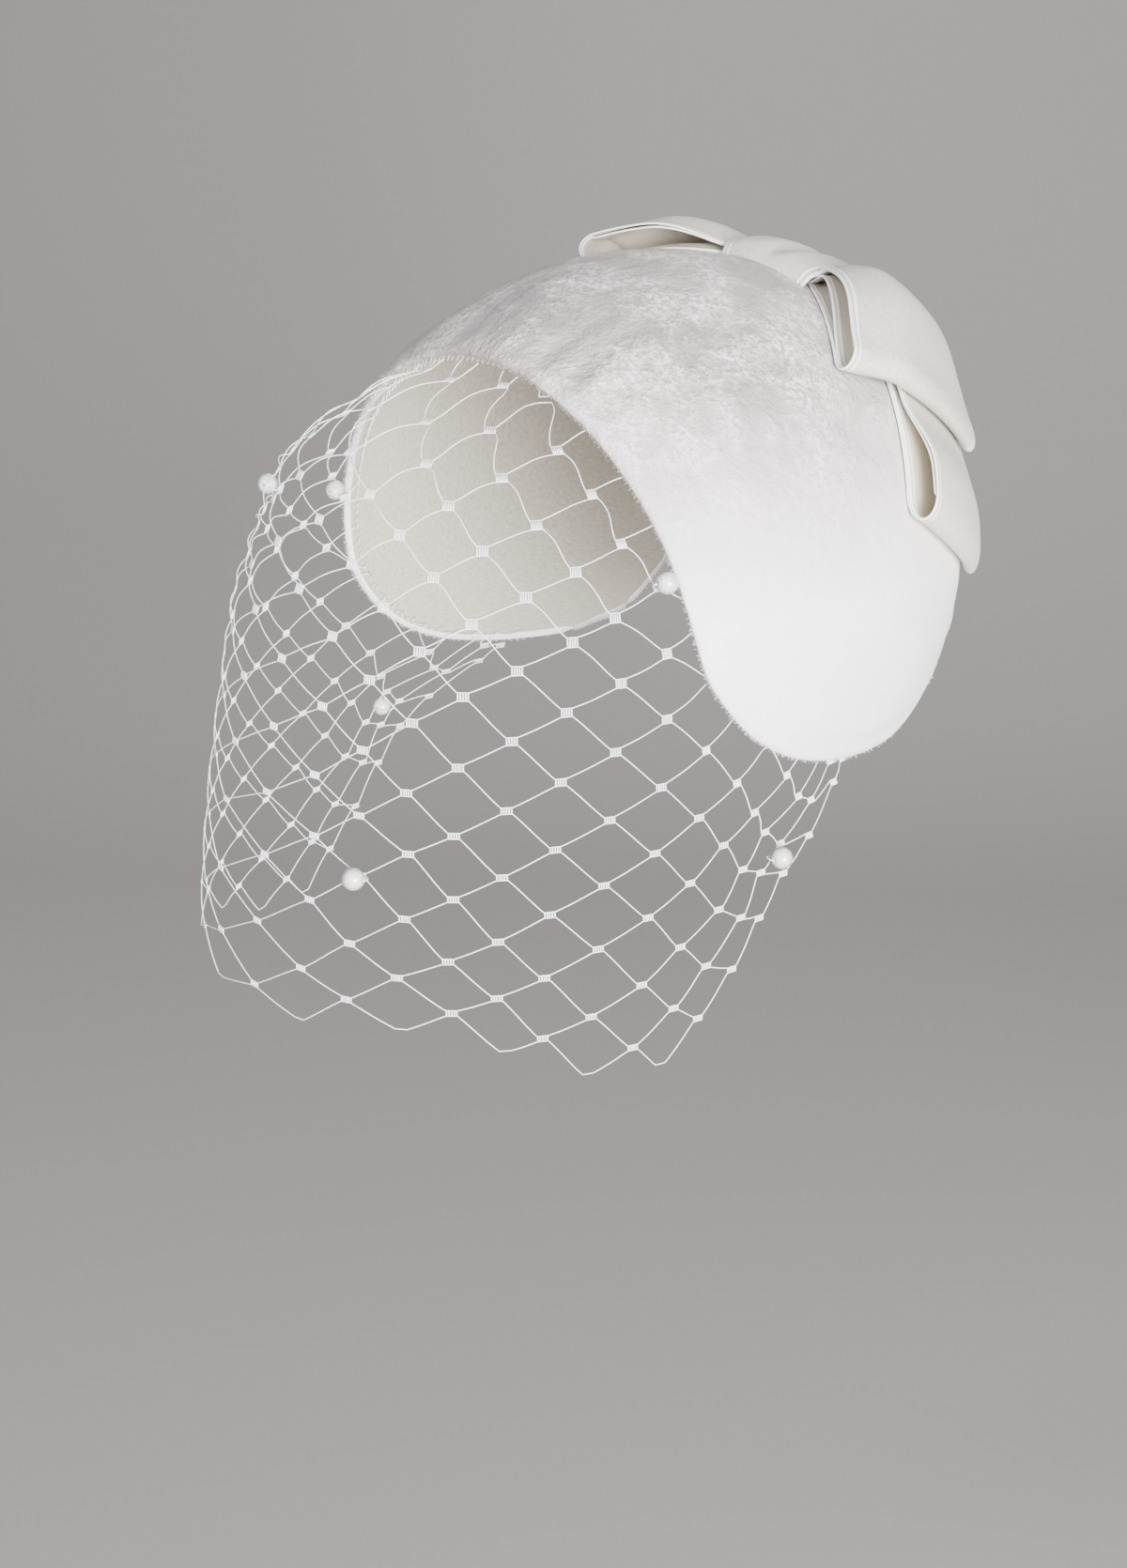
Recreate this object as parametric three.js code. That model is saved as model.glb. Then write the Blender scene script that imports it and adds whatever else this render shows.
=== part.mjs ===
// Half hat: a velvet crown that saddles the head and covers the ears, with a two-tier
// ribbon bow across its back and a diamond net veil dotted with pearls.
// Millimetres, +Z up. The wearer faces -Y and the wearer's left is +X. The origin is
// the point inside the crown that rests on the top of the head.
import * as THREE from 'three';

// Clearances and thicknesses
const GAP = 0.3;
const CROWN_WALL = 3;
const RIBBON_WALL = 1;
const KNOT_WALL = 1.6;
const NET_WALL = 1.2;
const NET_STRAND = 2.4;
const EDGE_ROLL = 0.4;

// The crown is part of an ellipsoid whose long axis rises towards the back
const CROWN = { halfWidth: 80.5, halfLength: 102.3, halfHeight: 87.8, tilt: 9 };

// Rim of the crown, from the middle (at 0) down to the tip of an ear lobe (at 1).
// side is degrees from the top towards an ear, along is degrees towards the back.
const RIM = [
  { at: 0.0, frontSide: 0, frontAlong: -28.5, backSide: 0, backAlong: 70 },
  { at: 0.22, frontSide: 30, frontAlong: -28.2, backSide: 28, backAlong: 70 },
  { at: 0.44, frontSide: 60, frontAlong: -27.2, backSide: 54, backAlong: 68 },
  { at: 0.62, frontSide: 86, frontAlong: -26, backSide: 76, backAlong: 63.5 },
  { at: 0.7, frontSide: 95.7, frontAlong: -22.5, backSide: 90, backAlong: 57.5 },
  { at: 0.78, frontSide: 103.7, frontAlong: -16.9, backSide: 101, backAlong: 51 },
  { at: 0.86, frontSide: 110.3, frontAlong: -8.6, backSide: 109, backAlong: 45 },
  { at: 0.93, frontSide: 115.3, frontAlong: 2.5, backSide: 115.5, backAlong: 38.5 },
  { at: 0.98, frontSide: 118.6, frontAlong: 12, backSide: 119.3, backAlong: 33 },
  { at: 1.0, frontSide: 120.6, frontAlong: 18.5, backSide: 121, backAlong: 29.5 },
];
const CROWN_STEPS = { along: 46, across: 14 };

// The bow is sewn on a little to the wearer's left: degrees from the top to its middle
const BOW_MIDDLE = 10.5;

// Ribbon loops on the wearer's left, mirrored for the right. Each runs out from the
// knot to a fold and back. side, from the bow's middle, and along place its corners on
// the crown, rest is the height of its lower layer at the front and back, pinch and open
// are how far its two layers stand apart at the knot and near the fold, and swell is the
// puff between.
const LOOP_REST = 1.05;
const LOOPS = {
  upper: {
    knotFront: { side: 2, along: 34 },
    knotBack: { side: 3, along: 55 },
    foldFront: { side: 36, along: 13 },
    foldBack: { side: 58, along: 42 },
    restFront: LOOP_REST,
    restBack: 4.8,
    pinch: 1.8,
    open: 5.4,
    opensFrom: 0.28,
    opensTo: 0.78,
    foldFrom: 0.92,
    swell: 2.2,
  },
  lower: {
    knotFront: { side: 2, along: 40 },
    knotBack: { side: 3, along: 54 },
    foldFront: { side: 64.5, along: 15.5 },
    foldBack: { side: 86.5, along: 41 },
    restFront: LOOP_REST,
    restBack: LOOP_REST,
    pinch: 2.2,
    open: 7.4,
    opensFrom: 0.68,
    opensTo: 0.88,
    foldFrom: 0.93,
    swell: 0,
  },
};
const LOOP_RAMP = 0.28;
const LOOP_STEPS = { layer: 8, fold: 5, across: 9 };

// Band that wraps the middle of the bow
const KNOT = {
  halfSide: 11.5, front: 26, back: 66.5, foot: 0.95, rise: 9.1, pleat: 1.1, pleatWidth: 2.4,
};
const KNOT_STEPS = { along: 14, across: 8 };

// The veil's level outline is a half oval with full shoulders, an ellipse at a fullness of
// 2 and squarer above it. It has its whole size at the hem and shrinks upwards.
const VEIL = { halfWidth: 79.7, reach: 127, middle: 9, fullness: 2.4 };
const VEIL_SIZE = [
  { z: -190, size: 1.0 },
  { z: -173, size: 1.0 },
  { z: -151, size: 0.99 },
  { z: -128, size: 0.97 },
  { z: -107, size: 0.945 },
  { z: -93, size: 0.925 },
  { z: -80, size: 0.905 },
  { z: -61, size: 0.845 },
  { z: -48, size: 0.805 },
  { z: -33, size: 0.735 },
  { z: -19, size: 0.5 },
  { z: -12, size: 0.36 },
];
// Hem of the veil by its turn from the middle of the face: row is where the lowest row of
// the net would lie, and cut is the lowest that a cell's middle may be
const VEIL_HEM = [
  { turn: 0, row: -176, cut: -177 },
  { turn: 12, row: -174, cut: -175 },
  { turn: 28, row: -170.5, cut: -171.5 },
  { turn: 44, row: -175, cut: -176 },
  { turn: 56, row: -184.5, cut: -185.5 },
  { turn: 64, row: -187, cut: -188 },
  { turn: 68, row: -187, cut: -180 },
  { turn: 74, row: -184, cut: -166 },
  { turn: 79, row: -181, cut: -154 },
  { turn: 84, row: -178, cut: -139.5 },
  { turn: 89, row: -175, cut: -126 },
  { turn: 95, row: -172, cut: -115 },
];
const VEIL_END = 95;
const VEIL_TUCK = 28;
const CELL = { width: 30.6, height: 23 };
const STITCHED_LINE = { inset: 0.4, clear: 1.2, to: 0.97, steps: 90 };

// Steps in degrees and millimetres that measure distances over the veil, how far its cells
// are laid out round and up from the middle of the hem, and how closely a strand's end on
// the stitched line is found
const MEASURE = { turn: 0.25, z: 0.5, round: 175, up: 240, halvings: 30 };
// How far a pearl draws the net with it, in cell widths
const PEARL_DRAW = 0.6;

// Pearls sewn to the veil: turn round the outline and height of each one's centre
const PEARL = { diameter: 6, around: 14, rings: 8 };
const PEARLS = [
  { name: 'pearl_cheek', turn: 20, z: -132 },
  { name: 'pearl_temple', turn: 66.5, z: -65.4 },
  { name: 'pearl_jaw', turn: 83.3, z: -137.4 },
  { name: 'pearl_brow', turn: -44.7, z: -56.6 },
  { name: 'pearl_temple_far', turn: -66.5, z: -65.4 },
  { name: 'pearl_jaw_far', turn: -83.3, z: -137.4 },
];

const FINISH = {
  velvet: { color: 0xe9e5e6, roughness: 0.75, metalness: 0 },
  ribbon: { color: 0xf1efe8, roughness: 0.5, metalness: 0 },
  net: { color: 0xf6f6f6, roughness: 0.55, metalness: 0 },
  pearl: { color: 0xf3f2ee, roughness: 0.18, metalness: 0 },
};

const X_AXIS = new THREE.Vector3(1, 0, 0);
const Z_AXIS = new THREE.Vector3(0, 0, 1);
const { degToRad, radToDeg, lerp, clamp, smoothstep } = THREE.MathUtils;

// Value of a named column at x, on a smooth curve through a table's rows
function read(rows, key, name, x) {
  const end = rows.length - 1;
  const inside = clamp(x, rows[0][key], rows[end][key]);
  let i = 0;
  while (i < end - 1 && inside > rows[i + 1][key]) i += 1;
  const slope = (k) => {
    const a = rows[Math.max(k - 1, 0)];
    const b = rows[Math.min(k + 1, end)];
    return (b[name] - a[name]) / (b[key] - a[key]);
  };
  const step = rows[i + 1][key] - rows[i][key];
  const t = (inside - rows[i][key]) / step;
  const h = (1 - t) ** 2;
  const k = t ** 2;
  return (
    h * (1 + 2 * t) * rows[i][name] +
    k * (3 - 2 * t) * rows[i + 1][name] +
    h * t * step * slope(i) -
    k * (1 - t) * step * slope(i + 1)
  );
}

// Point at a height over the outside of the crown
function overCrown(side, along, height = 0) {
  const s = degToRad(side);
  const a = degToRad(along);
  const { halfWidth, halfLength, halfHeight, tilt } = CROWN;
  const p = new THREE.Vector3(
    halfWidth * Math.cos(a) * Math.sin(s),
    halfLength * Math.sin(a),
    halfHeight * Math.cos(a) * Math.cos(s),
  );
  const out = new THREE.Vector3(p.x / halfWidth ** 2, p.y / halfLength ** 2, p.z / halfHeight ** 2);
  p.addScaledVector(out.normalize(), height);
  p.z -= halfHeight - CROWN_WALL;
  return p.applyAxisAngle(X_AXIS, degToRad(tilt));
}

// Closed geometry from points and triangles, turned so that its faces point outwards
function closed(points, triangles) {
  let volume = 0;
  for (const [a, b, c] of triangles) {
    volume += points[a].dot(new THREE.Vector3().crossVectors(points[b], points[c]));
  }
  const faces = volume < 0 ? triangles.map(([a, b, c]) => [a, c, b]) : triangles;
  const geometry = new THREE.BufferGeometry().setFromPoints(points);
  geometry.setIndex(faces.flat());
  geometry.computeVertexNormals();
  return geometry;
}

// Wall of even thickness about a surface given by centre(u, v), with u and v from 0 to 1
function wall(uSteps, vSteps, thickness, centre) {
  const small = 1e-3;
  const points = [];
  const triangles = [];
  const across = vSteps + 1;
  const inner = (uSteps + 1) * across;
  const quad = (a, b, c, d) => triangles.push([a, b, c], [a, c, d]);
  const normalAt = (u, v) => {
    const du = centre(Math.min(u + small, 1), v).sub(centre(Math.max(u - small, 0), v));
    const dv = centre(u, Math.min(v + small, 1)).sub(centre(u, Math.max(v - small, 0)));
    return du.cross(dv).normalize();
  };
  for (const half of [thickness / 2, -thickness / 2]) {
    for (let i = 0; i <= uSteps; i += 1) {
      for (let j = 0; j <= vSteps; j += 1) {
        const u = i / uSteps;
        const v = j / vSteps;
        points.push(centre(u, v).addScaledVector(normalAt(u, v), half));
      }
    }
  }
  for (let i = 0; i < uSteps; i += 1) {
    for (let j = 0; j < vSteps; j += 1) {
      const k = i * across + j;
      quad(k, k + across, k + across + 1, k + 1);
      quad(inner + k, inner + k + 1, inner + k + across + 1, inner + k + across);
    }
  }
  const border = [];
  for (let i = 0; i < uSteps; i += 1) border.push(i * across);
  for (let j = 0; j < vSteps; j += 1) border.push(uSteps * across + j);
  for (let i = uSteps; i > 0; i -= 1) border.push(i * across + vSteps);
  for (let j = vSteps; j > 0; j -= 1) border.push(j);
  const neighbour = (k) => {
    const i = Math.floor(k / across);
    const j = k % across;
    const ni = clamp(i, 1, uSteps - 1);
    const nj = clamp(j, 1, vSteps - 1);
    return ni * across + nj;
  };
  // Middle of the edge, rolled outwards
  const roll = (k) => {
    const middle = points[k].clone().add(points[inner + k]).multiplyScalar(0.5);
    const next = neighbour(k);
    const beside = points[next].clone().add(points[inner + next]).multiplyScalar(0.5);
    const away = middle.clone().sub(beside).normalize();
    return middle.addScaledVector(away, thickness * EDGE_ROLL);
  };
  const firstRoll = points.length;
  border.forEach((k) => points.push(roll(k)));
  border.forEach((a, n) => {
    const next = (n + 1) % border.length;
    const b = border[next];
    quad(b, a, firstRoll + n, firstRoll + next);
    quad(firstRoll + next, firstRoll + n, inner + a, inner + b);
  });
  return closed(points, triangles);
}

// Saddle-shaped velvet wall from one ear lobe over the head to the other
function crownShell() {
  const { along, across } = CROWN_STEPS;
  return wall(along, across, CROWN_WALL, (u, v) => {
    const at = Math.abs(2 * u - 1);
    const hand = Math.sign(2 * u - 1);
    const front = read(RIM, 'at', 'frontSide', at) * hand;
    const back = read(RIM, 'at', 'backSide', at) * hand;
    const side = lerp(front, back, v);
    const lengthwise = lerp(
      read(RIM, 'at', 'frontAlong', at),
      read(RIM, 'at', 'backAlong', at),
      v,
    );
    return overCrown(side, lengthwise, -CROWN_WALL / 2);
  });
}

// One ribbon loop: a lower layer out to the fold, the fold, and an upper layer back
function ribbonLoop(loop, hand) {
  const { layer, fold, across } = LOOP_STEPS;
  const steps = 2 * layer + fold;
  const apart = (out, v) => {
    const opened = smoothstep(out, loop.opensFrom, loop.opensTo);
    const puff = loop.swell * Math.sin(Math.PI * out ** 2) ** 2 * Math.sin(Math.PI * v);
    return lerp(loop.pinch, loop.open, opened) + puff;
  };
  return wall(steps, across, RIBBON_WALL, (u, v) => {
    const step = u * steps;
    const low = lerp(loop.restFront, loop.restBack, smoothstep(v, 0, LOOP_RAMP));
    let out;
    let height;
    if (step <= layer) {
      out = (loop.foldFrom * step) / layer;
      height = low;
    } else if (step >= layer + fold) {
      out = (loop.foldFrom * (steps - step)) / layer;
      height = low + apart(out, v);
    } else {
      const turn = Math.PI * ((step - layer) / fold - 0.5);
      const half = apart(loop.foldFrom, v) / 2;
      out = loop.foldFrom + (1 - loop.foldFrom) * Math.cos(turn);
      height = low + half + half * Math.sin(turn);
    }
    const side = lerp(
      lerp(loop.knotFront.side, loop.foldFront.side, out),
      lerp(loop.knotBack.side, loop.foldBack.side, out),
      v,
    );
    const along = lerp(
      lerp(loop.knotFront.along, loop.foldFront.along, out),
      lerp(loop.knotBack.along, loop.foldBack.along, out),
      v,
    );
    return overCrown(BOW_MIDDLE + side * hand, along, height);
  });
}

// Band arched over the pinched ends of the loops, with one pleat along its middle
function bowKnot() {
  const { along, across } = KNOT_STEPS;
  return wall(along, across, KNOT_WALL, (u, v) => {
    const side = KNOT.halfSide * (2 * v - 1);
    const arch = Math.max(Math.sin(Math.PI * u), 0) ** 0.35;
    const pleat = KNOT.pleat * Math.exp(-((side / KNOT.pleatWidth) ** 2)) * arch;
    const height = KNOT.foot + KNOT.rise * arch - pleat;
    return overCrown(BOW_MIDDLE + side, lerp(KNOT.front, KNOT.back, u), height);
  });
}

// Point of a half oval of unit size with the veil's fullness, by turn from the face's middle
function ovalAt(turn) {
  const power = 2 / VEIL.fullness;
  const rounded = (value) => Math.sign(value) * Math.abs(value) ** power;
  return { side: rounded(Math.sin(degToRad(turn))), front: rounded(Math.cos(degToRad(turn))) };
}

// Turn and size of the oval that a point lies on, with side and front in half widths
function turnAndSize(side, front) {
  const power = VEIL.fullness / 2;
  const x = Math.sign(side) * Math.abs(side) ** power;
  const y = Math.sign(front) * Math.abs(front) ** power;
  return { turn: radToDeg(Math.atan2(x, y)), size: Math.hypot(x, y) ** (1 / power) };
}

// Stitched line of the veil: just inside the front rim of the crown, by turn
function stitchedLine() {
  const { inset, clear, to, steps } = STITCHED_LINE;
  const depth = CROWN_WALL + NET_WALL / 2 + clear;
  const line = [];
  for (let k = 0; k <= steps; k += 1) {
    const at = (k / steps) * to;
    const side = read(RIM, 'at', 'frontSide', at);
    const p = overCrown(side, read(RIM, 'at', 'frontAlong', at) + inset, -depth);
    line.push({ ...turnAndSize(p.x / VEIL.halfWidth, (VEIL.middle - p.y) / VEIL.reach), z: p.z });
  }
  return line;
}
const STITCHED = stitchedLine();

// Point of the veil at a turn and a height, moved out of its face by an offset
function onVeil(turn, z) {
  const from = Math.abs(turn);
  const topZ = read(STITCHED, 'turn', 'z', from);
  const topSize = read(STITCHED, 'turn', 'size', from);
  const tuck = 1 - smoothstep(topZ - z, 0, VEIL_TUCK);
  const size =
    read(VEIL_SIZE, 'z', 'size', z) + (topSize - read(VEIL_SIZE, 'z', 'size', topZ)) * tuck;
  const { side, front } = ovalAt(turn);
  return new THREE.Vector3(VEIL.halfWidth * size * side, VEIL.middle - VEIL.reach * size * front, z);
}

// Outward direction of the veil's face
function veilOut(turn, z) {
  const across = onVeil(turn + MEASURE.turn, z).sub(onVeil(turn - MEASURE.turn, z));
  const up = onVeil(turn, z + MEASURE.z).sub(onVeil(turn, z - MEASURE.z));
  return across.cross(up).normalize();
}

// Turn at a distance round the outline of the hem from the middle of the face
function turnAt(distance) {
  let turn = 0;
  let gone = 0;
  let last = ovalAt(turn);
  while (gone < Math.abs(distance) && turn < 2 * VEIL_END) {
    turn += MEASURE.turn;
    const next = ovalAt(turn);
    gone += Math.hypot(
      VEIL.halfWidth * (next.side - last.side),
      VEIL.reach * (next.front - last.front),
    );
    last = next;
  }
  return turn * Math.sign(distance);
}

// Height of the veil at a distance up its face from the row line of the hem
function heightAt(turn, rise) {
  let z = read(VEIL_HEM, 'turn', 'row', Math.abs(turn));
  let gone = 0;
  let last = onVeil(turn, z);
  while (gone < rise && z < 0) {
    z += MEASURE.z;
    const next = onVeil(turn, z);
    gone += next.distanceTo(last);
    last = next;
  }
  return z;
}

// Knots of the net in half-cell steps: those of cells inside the hem, the ends and the rim
function netKnots() {
  const columns = Math.ceil((2 * MEASURE.round) / CELL.width);
  const rows = Math.ceil((2 * MEASURE.up) / CELL.height);
  const knots = new Map();
  const place = (column, row) => {
    const turn = turnAt((column * CELL.width) / 2);
    return { column, row, turn, z: heightAt(turn, (row * CELL.height) / 2) };
  };
  const underRim = (turn, z) => z > read(STITCHED, 'turn', 'z', Math.abs(turn));
  for (let column = -columns; column <= columns; column += 1) {
    for (let row = 1; row <= rows; row += 1) {
      if ((column + row) % 2 === 0) continue;
      const middle = place(column, row);
      const hem = read(VEIL_HEM, 'turn', 'cut', Math.abs(middle.turn));
      const inside = Math.abs(middle.turn) < VEIL_END && middle.z > hem;
      if (!inside || underRim(middle.turn, middle.z)) continue;
      for (const [dc, dr] of [[-1, 0], [1, 0], [0, -1], [0, 1]]) {
        const knot = place(column + dc, row + dr);
        knots.set(`${knot.column},${knot.row}`, knot);
      }
    }
  }
  return knots;
}

// Draws the net to each pearl, so that the nearest knot lies under it
function drawToPearls(knots) {
  const reach = CELL.width * PEARL_DRAW;
  for (const pearl of PEARLS) {
    const seat = onVeil(pearl.turn, pearl.z);
    let nearest;
    let least = Infinity;
    for (const knot of knots.values()) {
      const far = onVeil(knot.turn, knot.z).distanceTo(seat);
      if (far < least) {
        least = far;
        nearest = knot;
      }
    }
    const shift = { turn: pearl.turn - nearest.turn, z: pearl.z - nearest.z };
    const home = onVeil(nearest.turn, nearest.z);
    for (const knot of knots.values()) {
      const pull = Math.exp(-((onVeil(knot.turn, knot.z).distanceTo(home) / reach) ** 2));
      knot.turn += shift.turn * pull;
      knot.z += shift.z * pull;
    }
  }
}

// Net of flat strands that cross at knots, one closed body, cut through at every cell
function veilNet() {
  const knots = netKnots();
  drawToPearls(knots);
  const points = [];
  const triangles = [];
  const quad = (a, b, c, d) => triangles.push([a, b, c], [a, c, d]);
  const rimAt = (turn) => read(STITCHED, 'turn', 'z', Math.abs(turn));
  const covered = (knot) => knot.z > rimAt(knot.turn);
  const half = NET_STRAND / 2;

  // The four corners of a knot, between its strands, as pairs of outer and inner points
  const corners = (at, spread) => {
    const out = veilOut(at.turn, at.z);
    const centre = onVeil(at.turn, at.z);
    const right = Z_AXIS.clone().cross(out).normalize();
    const up = out.clone().cross(right);
    const ways = { n: [0, 1], e: [1, 0], s: [0, -1], w: [-1, 0] };
    const made = {};
    for (const [name, [x, y]] of Object.entries(ways)) {
      const p = centre.clone().addScaledVector(right, x * spread.x).addScaledVector(up, y * spread.y);
      points.push(p.clone().addScaledVector(out, NET_WALL / 2));
      points.push(p.clone().addScaledVector(out, -NET_WALL / 2));
      made[name] = points.length - 2;
    }
    return made;
  };
  const lean = Math.atan2(CELL.height, CELL.width);
  const spread = { x: half / Math.sin(lean), y: half / Math.cos(lean) };
  for (const knot of knots.values()) {
    if (covered(knot)) continue;
    knot.corners = corners(knot, spread);
    const { n, e, s, w } = knot.corners;
    quad(n, e, s, w);
    quad(n + 1, w + 1, s + 1, e + 1);
  }
  const side = (a, b) => quad(a, b, b + 1, a + 1);
  const strands = [
    { to: [1, 1], left: 'n', right: 'e', farLeft: 'w', farRight: 's' },
    { to: [1, -1], left: 'e', right: 's', farLeft: 'n', farRight: 'w' },
    { to: [-1, -1], left: 's', right: 'w', farLeft: 'e', farRight: 'n' },
    { to: [-1, 1], left: 'w', right: 'n', farLeft: 's', farRight: 'e' },
  ];
  for (const knot of knots.values()) {
    if (covered(knot)) continue;
    for (const { to, left, right, farLeft, farRight } of strands) {
      const far = knots.get(`${knot.column + to[0]},${knot.row + to[1]}`);
      const a = knot.corners[left];
      const b = knot.corners[right];
      if (!far) {
        side(b, a);
        continue;
      }
      if (covered(far)) {
        // The strand ends on the stitched line
        let near = 0;
        let past = 1;
        for (let n = 0; n < MEASURE.halvings; n += 1) {
          const mid = (near + past) / 2;
          const turn = lerp(knot.turn, far.turn, mid);
          if (lerp(knot.z, far.z, mid) > rimAt(turn)) past = mid;
          else near = mid;
        }
        const end = { turn: lerp(knot.turn, far.turn, near), z: lerp(knot.z, far.z, near) };
        const tip = corners(end, spread);
        const c = tip[farLeft];
        const d = tip[farRight];
        quad(a, c, d, b);
        quad(a + 1, b + 1, d + 1, c + 1);
        side(c, a);
        side(d, c);
        side(b, d);
      } else if (to[0] > 0) {
        const c = far.corners[farLeft];
        const d = far.corners[farRight];
        quad(a, c, d, b);
        quad(a + 1, b + 1, d + 1, c + 1);
        side(c, a);
        side(b, d);
      }
    }
  }
  return closed(...usedOnly(points, triangles));
}

// Leaves out points that no triangle uses
function usedOnly(points, triangles) {
  const used = [...new Set(triangles.flat())].sort((a, b) => a - b);
  const place = new Map(used.map((old, now) => [old, now]));
  return [used.map((k) => points[k]), triangles.map((t) => t.map((k) => place.get(k)))];
}

// Pearl that sits on the outside of the net
function pearlAt({ turn, z }) {
  const seat = onVeil(turn, z);
  const centre = seat.addScaledVector(veilOut(turn, z), NET_WALL / 2 + GAP + PEARL.diameter / 2);
  const geometry = new THREE.SphereGeometry(PEARL.diameter / 2, PEARL.around, PEARL.rings);
  return { geometry, centre };
}

function piece(name, geometry, finish) {
  const mesh = new THREE.Mesh(geometry, new THREE.MeshStandardMaterial(FINISH[finish]));
  mesh.name = name;
  return mesh;
}

const hat = new THREE.Group();
hat.add(piece('crown_shell', crownShell(), 'velvet'));
for (const [tier, loop] of Object.entries(LOOPS)) {
  hat.add(piece(`bow_${tier}_loop_left`, ribbonLoop(loop, 1), 'ribbon'));
  hat.add(piece(`bow_${tier}_loop_right`, ribbonLoop(loop, -1), 'ribbon'));
}
hat.add(piece('bow_knot', bowKnot(), 'ribbon'));
hat.add(piece('veil_net', veilNet(), 'net'));
for (const pearl of PEARLS) {
  const { geometry, centre } = pearlAt(pearl);
  const mesh = piece(pearl.name, geometry, 'pearl');
  mesh.position.copy(centre);
  hat.add(mesh);
}

export default hat;
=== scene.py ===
"""Looks of a half hat: velvet crown, satin ribbon bow and net veil with pearls.

Sizes are in millimetres, as in the part's source, and are made metres where a mesh is built.
The wearer faces -Y and the wearer's left is +X.
"""

import logging
import math
from dataclasses import dataclass, field, replace
from enum import Enum

import bpy
import numpy as np
from mathutils import Matrix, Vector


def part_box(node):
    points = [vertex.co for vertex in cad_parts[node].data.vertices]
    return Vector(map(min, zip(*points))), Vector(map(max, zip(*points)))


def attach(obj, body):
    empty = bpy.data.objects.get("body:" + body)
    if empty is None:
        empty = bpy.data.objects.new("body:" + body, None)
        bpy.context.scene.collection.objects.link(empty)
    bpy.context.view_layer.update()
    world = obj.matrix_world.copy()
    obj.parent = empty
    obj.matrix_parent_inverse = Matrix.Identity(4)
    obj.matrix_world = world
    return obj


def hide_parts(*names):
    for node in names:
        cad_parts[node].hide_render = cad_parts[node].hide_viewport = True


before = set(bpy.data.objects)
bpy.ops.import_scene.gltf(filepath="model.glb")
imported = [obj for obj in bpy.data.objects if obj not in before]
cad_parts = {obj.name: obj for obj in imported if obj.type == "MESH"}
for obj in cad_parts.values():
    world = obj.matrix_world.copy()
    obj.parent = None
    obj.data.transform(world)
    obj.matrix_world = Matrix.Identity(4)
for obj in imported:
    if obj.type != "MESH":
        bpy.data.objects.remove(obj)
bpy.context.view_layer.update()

Array = np.ndarray
Material = bpy.types.Material
Node = bpy.types.Node
Piece = bpy.types.Object
Socket = bpy.types.NodeSocket
Tree = bpy.types.NodeTree
Colour = tuple[float, float, float, float]

MM = 0.001
BODY = "root"
LOG = logging.getLogger("half_hat")


class Slot(Enum):
    """Material slots of the record."""

    VELVET = "velvet"
    RIBBON = "ribbon"
    NET = "net"
    PEARL = "pearl"


class Hand(Enum):
    """Side of the hat, as the wearer has it."""

    LEFT = 1
    RIGHT = -1


class Tier(Enum):
    """The two pairs of loops that a bow has."""

    UPPER = "upper"
    LOWER = "lower"


class Ply(Enum):
    """The two cloths of a doubled ribbon."""

    OUTER = "outer"
    INNER = "inner"


# Curves and surfaces


def smoothstep(x: Array, low: float, high: float) -> Array:
    """Value that eases from 0 at low to 1 at high."""
    t = np.clip((np.asarray(x, float) - low) / (high - low), 0, 1)
    return t * t * (3 - 2 * t)


def unit(v: Array) -> Array:
    """Vectors of length 1 along v."""
    return v / np.maximum(np.linalg.norm(v, axis=-1, keepdims=True), 1e-9)


def lerp(a: Array, b: Array, t: Array) -> Array:
    """Value between a and b."""
    return a + (b - a) * t


@dataclass(frozen=True)
class Table:
    """Rows of numbers under named columns. The first column is the key."""

    names: tuple[str, ...]
    rows: tuple[tuple[float, ...], ...]

    def column(self, name: str) -> Array:
        """All values of one column."""
        return np.array([row[self.names.index(name)] for row in self.rows], float)

    def read(self, name: str, at: Array) -> Array:
        """Reads a column on a smooth curve through the rows.

        Args:
            name: The column.
            at: Values of the key, held to the table's range.

        Returns:
            The column's values there.
        """
        keys, values = self.column(self.names[0]), self.column(name)
        inside = np.clip(np.asarray(at, float), keys[0], keys[-1])
        i = np.clip(np.searchsorted(keys, inside) - 1, 0, len(keys) - 2)
        index = np.arange(len(keys))
        before, after = np.maximum(index - 1, 0), np.minimum(index + 1, len(keys) - 1)
        slope = (values[after] - values[before]) / (keys[after] - keys[before])
        step = keys[i + 1] - keys[i]
        t = (inside - keys[i]) / step
        return (
            (1 - t) ** 2 * (1 + 2 * t) * values[i]
            + t**2 * (3 - 2 * t) * values[i + 1]
            + (1 - t) ** 2 * t * step * slope[i]
            - t**2 * (1 - t) * step * slope[i + 1]
        )


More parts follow.
